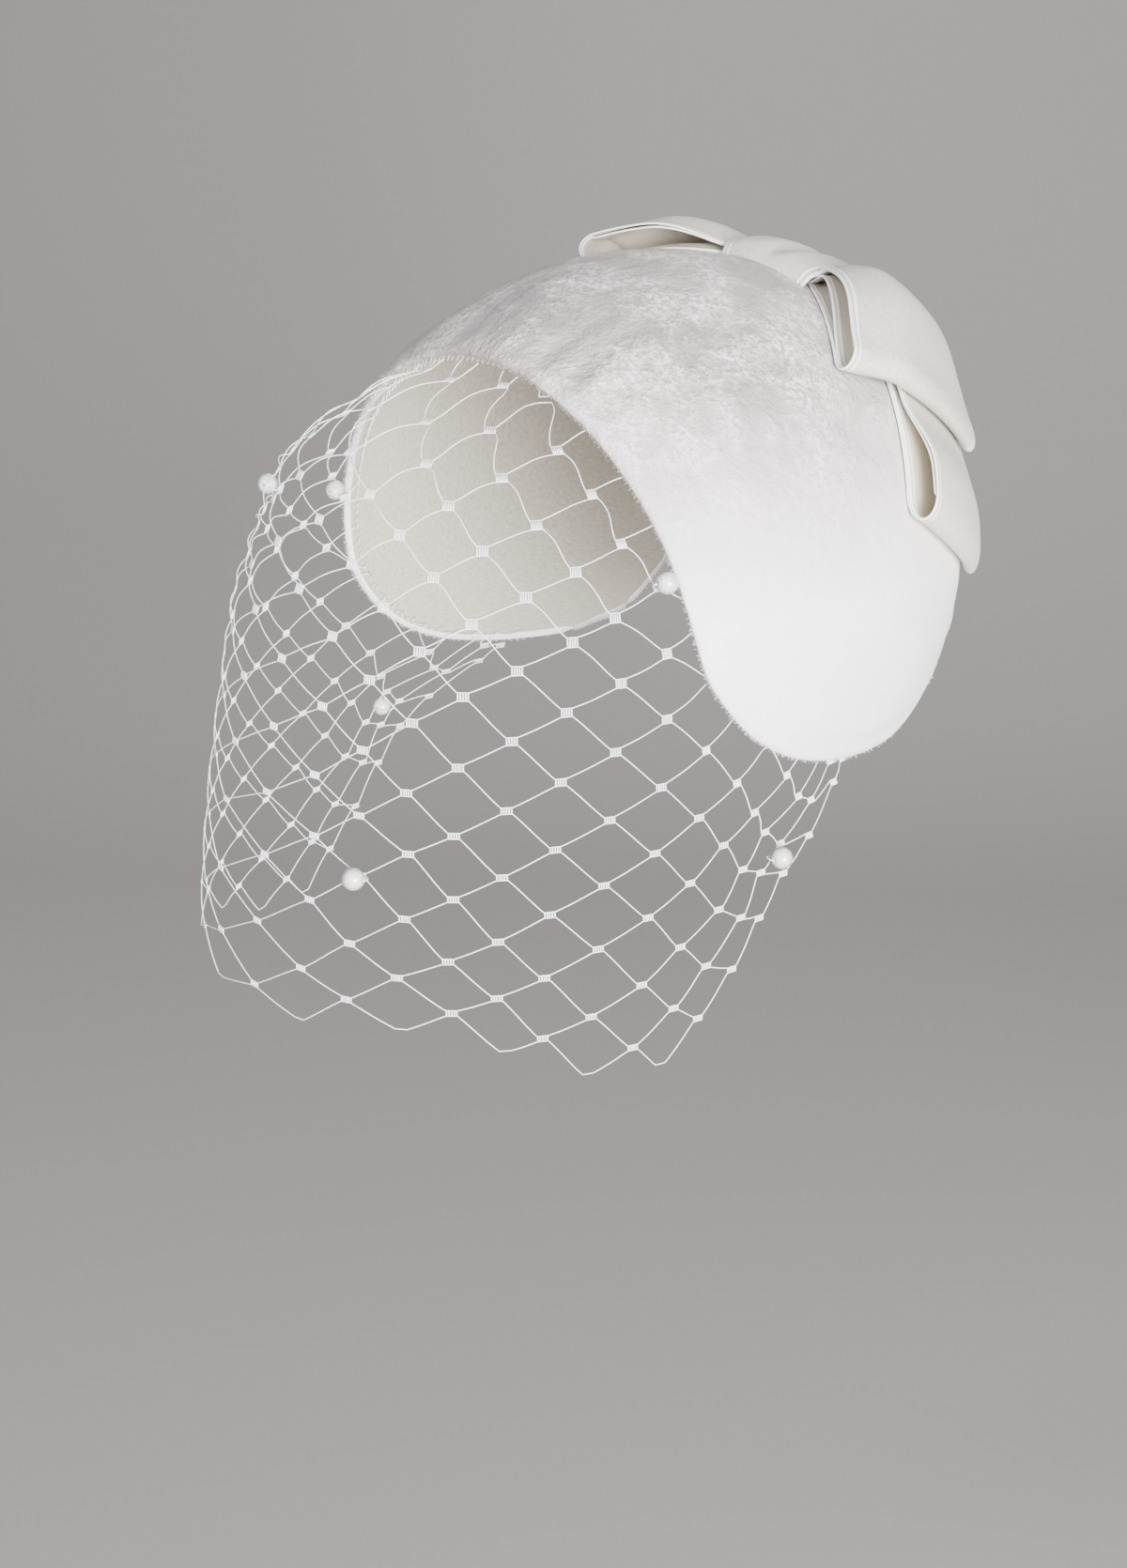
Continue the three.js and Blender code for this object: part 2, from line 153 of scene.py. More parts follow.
@dataclass(frozen=True)
class CrownForm:
    """Ellipsoid that the crown is cut from, with its long axis tilted, and the crown's rim."""

    half_width: float = 80.5
    half_length: float = 102.3
    half_height: float = 87.8
    tilt: float = 9
    wall: float = 3
    rim: Table = Table(
        ("at", "front_side", "front_along", "back_side", "back_along"),
        (
            (0, 0, -28.5, 0, 70),
            (0.22, 30, -28.2, 28, 70),
            (0.44, 60, -27.2, 54, 68),
            (0.62, 86, -26, 76, 63.5),
            (0.7, 95.7, -22.5, 90, 57.5),
            (0.78, 103.7, -16.9, 101, 51),
            (0.86, 110.3, -8.6, 109, 45),
            (0.93, 115.3, 2.5, 115.5, 38.5),
            (0.98, 118.6, 12, 119.3, 33),
            (1, 120.6, 18.5, 121, 29.5),
        ),
    )

    def over(self, side: Array, along: Array, height: Array) -> Array:
        """Points over the crown.

        Args:
            side: Degrees from the top towards an ear.
            along: Degrees towards the back.
            height: Distance out of the crown's outer face.

        Returns:
            Points, in a last axis of three.
        """
        s, a, h = np.broadcast_arrays(np.radians(side), np.radians(along), height)
        axes = np.array([self.half_width, self.half_length, self.half_height])
        p = np.stack([np.cos(a) * np.sin(s), np.sin(a), np.cos(a) * np.cos(s)], -1) * axes
        p = p + unit(p / axes**2) * h[..., None]
        p[..., 2] -= self.half_height - self.wall
        c, n = math.cos(math.radians(self.tilt)), math.sin(math.radians(self.tilt))
        x, y, z = p[..., 0], p[..., 1], p[..., 2]
        return np.stack([x, c * y - n * z, n * y + c * z], -1)

    def between_rims(self, u: Array, v: Array, height: Array) -> Array:
        """Points between the front rim and the back rim.

        Args:
            u: Place from one ear lobe (0) to the other (1).
            v: Place from the front rim (0) to the back rim (1).
            height: Distance out of the crown's outer face.

        Returns:
            Points, in a last axis of three.
        """
        at, hand = np.abs(2 * u - 1), np.sign(2 * u - 1)
        side = lerp(self.rim.read("front_side", at), self.rim.read("back_side", at), v) * hand
        along = lerp(self.rim.read("front_along", at), self.rim.read("back_along", at), v)
        return self.over(side, along, height)


@dataclass(frozen=True)
class VeilForm:
    """Half oval that the veil hangs round, by turn from the middle of the face and height."""

    crown: CrownForm = CrownForm()
    half_width: float = 79.7
    reach: float = 127
    middle: float = 9
    fullness: float = 2.4
    tuck: float = 28
    stitched_depth: float = 4.8
    stitched_inside: float = 0.4
    size: Table = Table(
        ("z", "size"),
        (
            (-190, 1), (-173, 1), (-151, 0.99), (-128, 0.97), (-107, 0.945), (-93, 0.925),
            (-80, 0.905), (-61, 0.845), (-48, 0.805), (-33, 0.735), (-19, 0.5), (-12, 0.36),
        ),
    )

    def turn_and_size(self, x: Array, y: Array) -> tuple[Array, Array]:
        """Finds the ovals that run through points of the plan.

        Args:
            x: Places towards the wearer's left.
            y: Places towards the back.

        Returns:
            Degrees from the middle of the face, and the size of the oval, 1 at the hem.
        """
        half = self.fullness / 2
        across, front = x / self.half_width, (self.middle - y) / self.reach
        p = np.sign(across) * np.abs(across) ** half
        q = np.sign(front) * np.abs(front) ** half
        return np.degrees(np.arctan2(p, q)), np.hypot(p, q) ** (1 / half)

    def stitched(self) -> Table:
        """Line just inside the crown's front rim, where the veil is sewn on.

        Returns:
            Size of the oval and height, by turn from the middle of the face.
        """
        at = np.linspace(0, 0.97, 91)
        rim = self.crown.rim
        along = rim.read("front_along", at) + self.stitched_inside
        p = self.crown.over(rim.read("front_side", at), along, -self.stitched_depth)
        turn, size = self.turn_and_size(p[:, 0], p[:, 1])
        return Table(("turn", "size", "z"), tuple(zip(turn, size, p[:, 2])))

    def on(self, turn: Array, z: Array) -> Array:
        """Points of the veil.

        Args:
            turn: Degrees from the middle of the face.
            z: Heights.

        Returns:
            Points, in a last axis of three.
        """
        turn, z = np.broadcast_arrays(np.asarray(turn, float), np.asarray(z, float))
        line = self.stitched()
        top_z, top_size = line.read("z", np.abs(turn)), line.read("size", np.abs(turn))
        tuck = 1 - smoothstep(top_z - z, 0, self.tuck)
        size = self.size.read("size", z) + (top_size - self.size.read("size", top_z)) * tuck
        angle, power = np.radians(turn), 2 / self.fullness
        x = np.sign(np.sin(angle)) * np.abs(np.sin(angle)) ** power
        y = np.sign(np.cos(angle)) * np.abs(np.cos(angle)) ** power
        return np.stack([self.half_width * size * x, self.middle - self.reach * size * y, z], -1)

    def frames(self, turn: Array, z: Array) -> tuple[Array, Array, Array]:
        """Directions of the veil's face at points of it.

        Args:
            turn: Degrees from the middle of the face.
            z: Heights.

        Returns:
            The level, the rising and the outward direction.
        """
        level = unit(self.on(turn + 0.25, z) - self.on(turn - 0.25, z))
        rising = unit(self.on(turn, z + 0.5) - self.on(turn, z - 0.5))
        out = unit(np.cross(level, rising))
        return level, np.cross(out, level), out


# Meshes


def mesh_piece(
    name: str, points: Array, faces: list, edges: list | None = None
) -> Piece:
    """Makes an object at the origin.

    Args:
        name: Name of the piece.
        points: Its points in millimetres.
        faces: Its faces, as lists of point numbers.
        edges: Loose edges, where it has no faces.

    Returns:
        The object, in the scene and shaded smooth.
    """
    mesh = bpy.data.meshes.new(name)
    mesh.from_pydata((np.asarray(points) * MM).tolist(), edges or [], faces)
    mesh.update()
    for polygon in mesh.polygons:
        polygon.use_smooth = True
    piece = bpy.data.objects.new(name, mesh)
    bpy.context.scene.collection.objects.link(piece)
    return piece


def add_attribute(piece: Piece, name: str, values: Array) -> None:
    """Stores a number or a direction for each point of a piece.

    Args:
        piece: The piece.
        name: Name of the attribute.
        values: One number, or one row of three, for each point.
    """
    kind, key = ("FLOAT", "value") if values.ndim == 1 else ("FLOAT_VECTOR", "vector")
    attribute = piece.data.attributes.new(name, kind, "POINT")
    attribute.data.foreach_set(key, values.astype(np.float32).ravel())


def hand_in(piece: Piece, node: str | None = None) -> None:
    """Puts a piece under the body's empty, hides the CAD node that it stands for and logs its faces.

    Args:
        piece: The piece.
        node: CAD node that it stands for, if any.
    """
    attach(piece, BODY)
    if node:
        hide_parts(node)
    LOG.info("%s: %d faces", piece.name, len(piece.data.polygons))


def stand(
    name: str, data: object, place: Array, axes: tuple[Array, Array, Array]
) -> Piece:
    """Puts a camera or a light in the scene.

    Args:
        name: Name of the object.
        data: Its camera or light data.
        place: Where it stands, in millimetres.
        axes: Its right, upward and backward directions.

    Returns:
        The object.
    """
    thing = bpy.data.objects.new(name, data)
    bpy.context.scene.collection.objects.link(thing)
    matrix = Matrix.Identity(4)
    for k in range(3):
        matrix[k][3] = place[k] * MM
        for axis, way in enumerate(axes):
            matrix[k][axis] = way[k]
    thing.matrix_world = matrix
    return thing


@dataclass
class Sheet:
    """Closed wall of cloth about a grid of points, with a rounded edge.

    The grid's first axis runs along the cloth and its second across it.
    """

    centre: Array
    thickness: Array
    roll_steps: int = 4
    bulge: float = 0.5

    def normals(self) -> Array:
        """Directions out of the first face of the cloth.

        Returns:
            A direction for each point of the grid.
        """
        along = np.gradient(self.centre, axis=0)
        across = np.gradient(self.centre, axis=1)
        return unit(np.cross(along, across))

    def lengths(self) -> tuple[Array, Array]:
        """Distances over the cloth to each point of the grid.

        Returns:
            The distance along the cloth and the distance across it.
        """
        along = np.linalg.norm(np.diff(self.centre, axis=0), axis=-1)
        across = np.linalg.norm(np.diff(self.centre, axis=1), axis=-1)
        u = np.concatenate([np.zeros((1, along.shape[1])), np.cumsum(along, 0)], 0)
        v = np.concatenate([np.zeros((across.shape[0], 1)), np.cumsum(across, 1)], 1)
        return np.repeat(u.mean(1, keepdims=True), u.shape[1], 1), v

    def border(self) -> tuple[Array, Array, Array]:
        """Points of the grid's border, in order round it.

        Returns:
            Their numbers, rows and columns.
        """
        rows, columns = self.centre.shape[:2]
        number = np.arange(rows * columns).reshape(rows, columns)
        ring = np.concatenate(
            [number[:-1, 0], number[-1, :-1], number[:0:-1, -1], number[0, :0:-1]]
        )
        return ring, ring // columns, ring % columns

    def rolls(self, normal: Array, half: Array) -> list[Array]:
        """Rings of points round the cloth's rounded edge.

        Args:
            normal: Directions out of the first face.
            half: Half the thickness at each point.

        Returns:
            Points of each ring, from the first face to the second.
        """
        rows, columns = self.centre.shape[:2]
        _, i, j = self.border()
        inner = np.clip(i, 1, rows - 2), np.clip(j, 1, columns - 2)
        away = unit(self.centre[i, j] - self.centre[inner])
        h = half[i, j][:, None]
        rings = []
        for step in range(1, self.roll_steps + 1):
            angle = math.pi * step / (self.roll_steps + 1)
            rings.append(
                self.centre[i, j]
                + normal[i, j] * h * math.cos(angle)
                + away * h * 2 * self.bulge * math.sin(angle)
            )
        return rings

    def build(self, name: str) -> Piece:
        """Makes the wall, with a UV map in metres and its distance from the long edges.

        Args:
            name: Name of the piece.

        Returns:
            The object. Faces of the second side have material number 1.
        """
        rows, columns = self.centre.shape[:2]
        count = rows * columns
        normal, half = self.normals(), np.broadcast_to(self.thickness, (rows, columns)) / 2
        offset = normal * half[..., None]
        sides = [(self.centre + offset * sign).reshape(-1, 3) for sign in (1, -1)]
        points = np.concatenate(sides + self.rolls(normal, half))
        number = np.arange(count).reshape(rows, columns)
        near, far = number[:-1, :-1], number[1:, :-1]
        right, over = number[:-1, 1:], number[1:, 1:]
        faces = self.quads(near, far, over, right)
        side_faces = len(faces)
        faces += self.quads(near + count, right + count, over + count, far + count)
        ring, i, j = self.border()
        following = np.roll(np.arange(len(ring)), -1)
        starts = [2 * count + step * len(ring) for step in range(self.roll_steps)]
        rings = [ring, *(start + np.arange(len(ring)) for start in starts), ring + count]
        for this, that in zip(rings, rings[1:]):
            faces += self.quads(this[following], this, that, that[following])
        piece = mesh_piece(name, points, faces)
        mesh = piece.data
        second = np.zeros(len(faces), np.int32)
        second[side_faces:2 * side_faces] = 1
        mesh.polygons.foreach_set("material_index", second)

        def spread(grid: Array) -> Array:
            """Values of the grid at each point of the wall."""
            return np.concatenate([grid.ravel(), grid.ravel()] + [grid[i, j]] * self.roll_steps)

        u, v = self.lengths()
        add_attribute(piece, "edge", spread(np.minimum(v, v[:, -1:] - v)) * MM)
        uv = np.stack([spread(u), spread(v)], -1) * MM
        corners = np.zeros(len(mesh.loops), np.int32)
        mesh.loops.foreach_get("vertex_index", corners)
        layer = mesh.uv_layers.new(name="cloth")
        layer.data.foreach_set("uv", uv[corners].astype(np.float32).ravel())
        return piece

    @staticmethod
    def quads(*corners: Array) -> list[list[int]]:
        """Faces from the numbers of their four corners."""
        return np.stack(corners, -1).reshape(-1, 4).tolist()


def swell(u: Array, v: Array, waves: Table, amount: float) -> Array:
    """Sum of slow waves over a cloth.

    Args:
        u: Places along the cloth, in millimetres.
        v: Places across it.
        waves: Rows of length along, length across and phase.
        amount: Height of each wave.

    Returns:
        Heights.
    """
    total = np.zeros(np.broadcast(u, v).shape)
    for along, across, phase in waves.rows:
        total += np.sin(2 * np.pi * (u / along + v / across) + phase)
    return total * amount


# Shaders


class Graph:
    """Short way to add and join the nodes of a material, a shader group or a geometry tree."""

    def __init__(self, tree: Tree) -> None:
        """Works on a node tree."""
        self.tree = tree

    def add(self, kind: str, inputs: dict | None = None, **settings: object) -> Node:
        """Adds a node.

        Args:
            kind: Node type.
            inputs: Values or sockets by input name or number.
            **settings: Properties of the node.

        Returns:
            The node.
        """
        node = self.tree.nodes.new(kind)
        for name, value in settings.items():
            setattr(node, name, value)
        for name, value in (inputs or {}).items():
            self.feed(node.inputs[name], value)
        return node

    def feed(self, socket: Socket, value: object) -> None:
        """Joins a socket to an input, or sets it to a value."""
        if isinstance(value, Socket):
            self.tree.links.new(value, socket)
        else:
            socket.default_value = value

    def math(self, operation: str, *values: object) -> Socket:
        """Adds a Math node and gives its result."""
        inputs = dict(enumerate(values))
        return self.add("ShaderNodeMath", inputs, operation=operation).outputs[0]

    def ramp(
        self, value: object, low: float, high: float, start: float, end: float
    ) -> Socket:
        """Maps a value from one range to another, held to its ends."""
        names = ("Value", "From Min", "From Max", "To Min", "To Max")
        inputs = dict(zip(names, (value, low, high, start, end)))
        return self.add("ShaderNodeMapRange", inputs).outputs[0]

    def noise(
        self, vector: object, scale: object, detail: float,
        roughness: float = 0.5, distortion: float = 0.0,
    ) -> Socket:
        """Adds a noise texture.

        Args:
            vector: Where it is read.
            scale: Patches in a metre.
            detail: Number of finer layers.
            roughness: Share of the finer layers.
            distortion: How far it is twisted.

        Returns:
            Its value, about 0.5.
        """
        inputs = {
            "Vector": vector, "Scale": scale, "Detail": detail,
            "Roughness": roughness, "Distortion": distortion,
        }
        return self.add("ShaderNodeTexNoise", inputs).outputs["Fac"]

    def mix(self, factor: object, first: object, second: object) -> Socket:
        """Mixes two colours.

        Args:
            factor: Share of the second colour.
            first: Colour at 0.
            second: Colour at 1.

        Returns:
            The mixed colour.
        """
        node = self.add("ShaderNodeMix", data_type="RGBA")
        for name, value in (("Factor_Float", factor), ("A_Color", first), ("B_Color", second)):
            self.feed(next(s for s in node.inputs if s.identifier == name), value)
        return next(s for s in node.outputs if s.identifier == "Result_Color")

    def on_piece(self) -> Socket:
        """Place in the piece's own frame, in metres."""
        return self.add("ShaderNodeTexCoord").outputs["Object"]

    def on_cloth(self) -> Socket:
        """Place on the flat cloth, in metres."""
        return self.add("ShaderNodeUVMap", uv_map="cloth").outputs["UV"]

    def dress(
        self, shader: Node, colour: object, roughness: object,
        height: object = None, strength: float = 1.0, distance: float = 0.0,
    ) -> None:
        """Joins a finish to its shader.

        Args:
            shader: The Principled shader.
            colour: Its colour.
            roughness: Its roughness.
            height: Its relief, if it has any.
            strength: Share of the relief that shows.
            distance: Depth of the relief, in metres.
        """
        self.feed(shader.inputs["Base Color"], colour)
        self.feed(shader.inputs["Roughness"], roughness)
        if height is not None:
            inputs = {"Height": height, "Strength": strength, "Distance": distance}
            bump = self.add("ShaderNodeBump", inputs)
            self.feed(shader.inputs["Normal"], bump.outputs["Normal"])


def new_group(
    name: str, inputs: dict[str, object], outputs: tuple[str, ...]
) -> tuple[Tree, Graph, Node, Node]:
    """Starts a shader node group.

    Args:
        name: Name of the group.
        inputs: Default value of each input. A tuple of three is a vector.
        outputs: Names of the values that it gives.

    Returns:
        The group, its graph, its input node and its output node.
    """
    tree = bpy.data.node_groups.new(name, "ShaderNodeTree")
    for label, value in inputs.items():
        kind = "NodeSocketVector" if isinstance(value, tuple) else "NodeSocketFloat"
        socket = tree.interface.new_socket(name=label, in_out="INPUT", socket_type=kind)
        socket.default_value = value
    for label in outputs:
        tree.interface.new_socket(name=label, in_out="OUTPUT", socket_type="NodeSocketFloat")
    graph = Graph(tree)
    return tree, graph, graph.add("NodeGroupInput"), graph.add("NodeGroupOutput")


# Patches in a metre of the noise textures that the groups read
SLUBS, GRAINS = 900.0, 750.0
TUFTS, PATCHES, STREAKS, SPECKS, SHADES = 1500.0, 45.0, 150.0, 620.0, 26.0


def weave_group() -> Tree:
    """Plain weave of threads.

    Returns:
        A group that gives the relief of the threads, and how much each shows.
    """
    tree, g, given, result = new_group(
        "thread_weave",
        {"Vector": (0.0, 0.0, 0.0), "Along Pitch": 0.0003, "Across Pitch": 0.0003, "Slub": 0.3},
        ("Height", "Tone"),
    )
    vector = given.outputs["Vector"]
    slub = g.math("SUBTRACT", g.noise(vector, SLUBS, 2.0), 0.5)
    wander = g.math("MULTIPLY", slub, given.outputs["Slub"])
    axes = g.add("ShaderNodeSeparateXYZ", {"Vector": vector})
    waves = []
    for axis, pitch in (("X", "Along Pitch"), ("Y", "Across Pitch")):
        turns = g.math("DIVIDE", axes.outputs[axis], given.outputs[pitch])
        waves.append(g.math("SINE", g.math("MULTIPLY", g.math("ADD", turns, wander), math.tau)))
    relief = g.math("MULTIPLY_ADD", g.math("MULTIPLY", *waves), 0.5, 0.5)
    grain = g.noise(vector, GRAINS, 4.0, 0.7)
    shown = g.ramp(grain, 0.35, 0.62, 0.0, 1.0)
    tone = g.math("MULTIPLY_ADD", shown, 0.75, g.math("MULTIPLY", relief, 0.25))
    g.feed(result.inputs["Height"], g.math("MULTIPLY_ADD", grain, 0.8, relief))
    g.feed(result.inputs["Tone"], tone)
    return tree


def pile_group() -> Tree:
    """Short pile that lies in patches.

    Returns:
        A group that gives the relief of the tufts, where they are crushed, which marks the painted
        sparkle, and a slow noise for painted shade.
    """
    tree, g, given, result = new_group(
        "crushed_pile",
        {"Vector": (0.0, 0.0, 0.0), "Tuft Scale": TUFTS, "Patch Scale": PATCHES},
        ("Height", "Crushed", "Shade"),
    )
    vector = given.outputs["Vector"]
    slant = {"Vector": vector, "Rotation": (0.3, 0.5, 0.5), "Scale": (0.55, 1.0, 1.0)}
    lying = g.add("ShaderNodeMapping", slant).outputs[0]
    tufts = g.noise(vector, given.outputs["Tuft Scale"], 3.0, 0.6)
    patches = g.noise(vector, given.outputs["Patch Scale"], 6.0, 0.65, 0.25)
    streaks = g.noise(lying, STREAKS, 5.0, 0.7, 0.1)
    specks = g.noise(vector, SPECKS, 2.0, 0.8)
    patch = g.ramp(patches, 0.44, 0.56, 0.0, 1.0)
    streak = g.ramp(streaks, 0.45, 0.55, 0.0, 1.0)
    speck = g.ramp(specks, 0.45, 0.54, 0.0, 1.0)
    # Bright specks in crushed patches: where the velvet gets its painted sparkle
    bright = g.math("MULTIPLY", speck, g.math("MULTIPLY_ADD", streak, 0.45, 0.55))
    crushed = g.math("MULTIPLY", patch, g.math("MULTIPLY_ADD", bright, 0.88, 0.12))
    lie = g.math("MULTIPLY_ADD", streaks, 0.14, g.math("MULTIPLY", tufts, 0.12))
    g.feed(result.inputs["Height"], g.math("MULTIPLY_ADD", patches, 1.6, lie))
    g.feed(result.inputs["Crushed"], crushed)
    g.feed(result.inputs["Shade"], g.noise(lying, SHADES, 4.0, distortion=0.5))
    return tree


@dataclass(frozen=True)
class Effects:
    """Shader groups that the finishes share."""

    weave: Tree = field(default_factory=weave_group)
    pile: Tree = field(default_factory=pile_group)


def start_material(
    name: str, constants: dict[str, object]
) -> tuple[Material, Graph, Node]:
    """Starts a material.

    Args:
        name: Name of the material.
        constants: Values of the shader's sockets that don't vary.

    Returns:
        The material, its graph and its Principled shader.
    """
    material = bpy.data.materials.new(name)
    material.use_nodes = True
    shader = material.node_tree.nodes["Principled BSDF"]
    for socket, value in constants.items():
        shader.inputs[socket].default_value = value
    return material, Graph(material.node_tree), shader


@dataclass(frozen=True)
class VelvetFinish:
    """Off-white crushed velvet, or its woven back, with painted shade and painted sparkle on its
    top. Relief, pitch and heights are in metres.
    """

    calm: Colour = (0.99, 0.97, 0.97, 1)
    # Painted shade of the top, which gets less light than the ears
    top_shade: Colour = (0.42, 0.36, 0.37, 1)
    # Painted sparkle of the crushed pile on the top
    crushed: Colour = (0.88, 0.815, 0.82, 1)
    # Painted shade in slow patches of the top
    shaded: Colour = (0.28, 0.24, 0.25, 1)
    back_dark: Colour = (0.46, 0.42, 0.36, 1)
    back_light: Colour = (0.68, 0.63, 0.55, 1)
    relief: float = 0.003
    back_relief: float = 0.0003
    back_pitch: tuple[float, float] = (0.0007, 0.0006)
    # Heights in metres between which the top's painted shade and painted sparkle fade in
    calm_below: float = -0.075
    crushed_above: float = -0.02

    def make(self, effects: Effects) -> Material:
        """Makes the pile side, calm over the ears and crushed on the top, where painted shade
        darkens it and painted sparkle flecks it.

        Args:
            effects: The shared shader groups.

        Returns:
            The material.
        """
        material, g, shader = start_material(
            "velvet_pile",
            {"Sheen Weight": 0.16, "Sheen Roughness": 0.35, "Sheen Tint": (1, 0.99, 0.99, 1),
             "Specular IOR Level": 0.5},
        )
        place = g.on_piece()
        pile = g.add("ShaderNodeGroup", {"Vector": place}, node_tree=effects.pile)
        rise = g.add("ShaderNodeSeparateXYZ", {"Vector": place}).outputs["Z"]
        # Share of the top: there painted shade darkens the colour, painted sparkle flecks it and the
        # pile's relief shows
        high = g.ramp(rise, self.calm_below, self.crushed_above, 0.1, 1.0)
        crushed = g.math("MULTIPLY", pile.outputs["Crushed"], high)
        # Slow patches of painted shade on the top
        shade = g.ramp(pile.outputs["Shade"], 0.4, 0.62, 0.0, 0.8)
        top = g.mix(shade, self.top_shade, self.shaded)
        # The crushed specks get the painted sparkle colour over the painted shade of the top
        colour = g.mix(crushed, g.mix(high, self.calm, top), self.crushed)
        height = g.math("MULTIPLY", pile.outputs["Height"], high)
        g.dress(shader, colour, g.ramp(crushed, 0.0, 1.0, 0.72, 0.34), height, 1.0, self.relief)
        return material

    def make_back(self, effects: Effects) -> Material:
        """Makes the woven back of the velvet.

        Args:
            effects: The shared shader groups.

        Returns:
            The material.
        """
        material, g, shader = start_material("velvet_back", {"Specular IOR Level": 0.25})
        along, across = self.back_pitch
        weave = g.add(
            "ShaderNodeGroup",
            {"Vector": g.on_cloth(), "Along Pitch": along, "Across Pitch": across, "Slub": 0.5},
            node_tree=effects.weave,
        )
        tone, height = weave.outputs["Tone"], weave.outputs["Height"]
        colour = g.mix(tone, self.back_dark, self.back_light)
        g.dress(shader, colour, g.ramp(tone, 0.0, 1.0, 0.9, 0.7), height, 0.5, self.back_relief)
        return material


@dataclass(frozen=True)
class RibbonFinish:
    """Ivory ribbon with a corded selvedge, its cords painted bright as highlights and the groove
    between them painted as shade.

    The selvedge and its rope are in millimetres, and the weave's pitch and relief in metres.
    """

    name: str = "ribbon_satin"
    face: Colour = (0.74, 0.70, 0.64, 1)
    thin: Colour = (0.53, 0.495, 0.44, 1)
    shaded: Colour = (0.42, 0.385, 0.34, 1)
    # Painted highlight of the selvedge's cords
    selvedge: Colour = (1, 0.995, 0.98, 1)
    # Painted shade in the groove between the cords
    groove_shade: Colour = (0.60, 0.59, 0.57, 1)
    selvedge_width: float = 2.1
    cord_width: float = 0.85
    rope_pitch: float = 0.6
    pitch: tuple[float, float] = (0.00042, 0.00034)
    relief: float = 0.0003

    def make(self, effects: Effects) -> Material:
        """Makes the ribbon. Its selvedge is two cords with a groove between, the cords painted
        brighter as highlight and the groove painted darker as shade.

        Args:
            effects: The shared shader groups.

        Returns:
            The material.
        """
        material, g, shader = start_material(
            self.name, {"Sheen Weight": 0.1, "Sheen Roughness": 0.45, "Specular IOR Level": 0.45}
        )
        place = g.on_cloth()
        along, across = self.pitch
        weave = g.add(
            "ShaderNodeGroup",
            {"Vector": place, "Along Pitch": along, "Across Pitch": across, "Slub": 0.6},
            node_tree=effects.weave,
        )
        tone = weave.outputs["Tone"]
        edge = g.add("ShaderNodeAttribute", attribute_name="edge").outputs["Fac"]
        width = self.selvedge_width * MM
        within = g.ramp(edge, width, width * 1.15, 1.0, 0.0)
        cords = g.math("COSINE", g.math("MULTIPLY", edge, math.tau / (self.cord_width * width)))
        cords = g.math("MULTIPLY_ADD", cords, 0.5, 0.5)
        at_edge = g.math("MULTIPLY", within, g.ramp(cords, 0.3, 0.7, 0.0, 1.0))
        between = g.math("SUBTRACT", within, at_edge)
        run = g.add("ShaderNodeSeparateXYZ", {"Vector": place}).outputs["X"]
        slant = g.math("ADD", run, g.math("MULTIPLY", edge, 0.7))
        rope = g.math("SINE", g.math("MULTIPLY", slant, math.tau / (self.rope_pitch * MM)))
        rope = g.math("MULTIPLY_ADD", g.math("MULTIPLY_ADD", rope, 0.5, 0.5), 0.5, 1.0)
        corded = g.math("MULTIPLY", at_edge, rope)
        # Slow patches of painted shade, standing for the shading of soft folds in the satin
        pile = g.add("ShaderNodeGroup", {"Vector": g.on_piece()}, node_tree=effects.pile)
        painted_shade = g.ramp(pile.outputs["Shade"], 0.38, 0.62, 0.0, 0.4)
        face = g.mix(painted_shade, g.mix(tone, self.thin, self.face), self.shaded)
        # Painted shade in the groove, then painted highlight on the cords
        grooved = g.mix(g.math("MULTIPLY", between, 0.85), face, self.groove_shade)
        colour = g.mix(g.math("MULTIPLY", at_edge, 0.95), grooved, self.selvedge)
        height = g.math("MULTIPLY_ADD", weave.outputs["Height"], 0.5, corded)
        g.dress(shader, colour, g.ramp(tone, 0.2, 0.8, 0.62, 0.46), height, 0.6, self.relief)
        return material


@dataclass(frozen=True)
class ThreadFinish:
    """White filament thread of the veil."""

    light: Colour = (0.95, 0.95, 0.95, 1)
    dark: Colour = (0.86, 0.86, 0.87, 1)
    fibres: float = 2600.0
    relief: float = 0.0001

    def make(self) -> Material:
        """Makes the thread.

        Returns:
            The material.
        """
        constants = {"Sheen Weight": 0.2, "Specular IOR Level": 0.5}
        material, g, shader = start_material("net_thread", constants)
        fibres = g.noise(g.on_piece(), self.fibres, 2.0)
        colour = g.mix(fibres, self.dark, self.light)
        g.dress(shader, colour, g.ramp(fibres, 0.3, 0.7, 0.42, 0.6), fibres, 0.4, self.relief)
        return material


@dataclass(frozen=True)
class PearlFinish:
    """White imitation pearl under a clear coat, with painted shade towards its rim."""

    # Painted shade that darkens the pearl towards its rim
    rim: Colour = (0.38, 0.37, 0.38, 1)
    face: Colour = (0.80, 0.79, 0.78, 1)
    clouds: float = 320.0

    def make(self) -> Material:
        """Makes the pearl.

        Returns:
            The material.
        """
        material, g, shader = start_material(
            "pearl_lustre",
            {"Coat Weight": 1.0, "Coat Roughness": 0.08, "Sheen Weight": 0.1,
             "Sheen Tint": (1, 0.93, 0.95, 1), "Specular IOR Level": 0.6},
        )
        cloud = g.noise(g.on_piece(), self.clouds, 2.0)
        # Darker towards the rim as seen: painted shade, with slow clouds of the nacre's own tone
        facing = g.add("ShaderNodeLayerWeight", {"Blend": 0.5}).outputs["Facing"]
        depth = g.math("MULTIPLY_ADD", cloud, 0.15, g.math("MULTIPLY", facing, 1.2))
        colour = g.mix(depth, self.face, self.rim)
        g.dress(shader, colour, g.ramp(cloud, 0.3, 0.7, 0.2, 0.28))
        return material


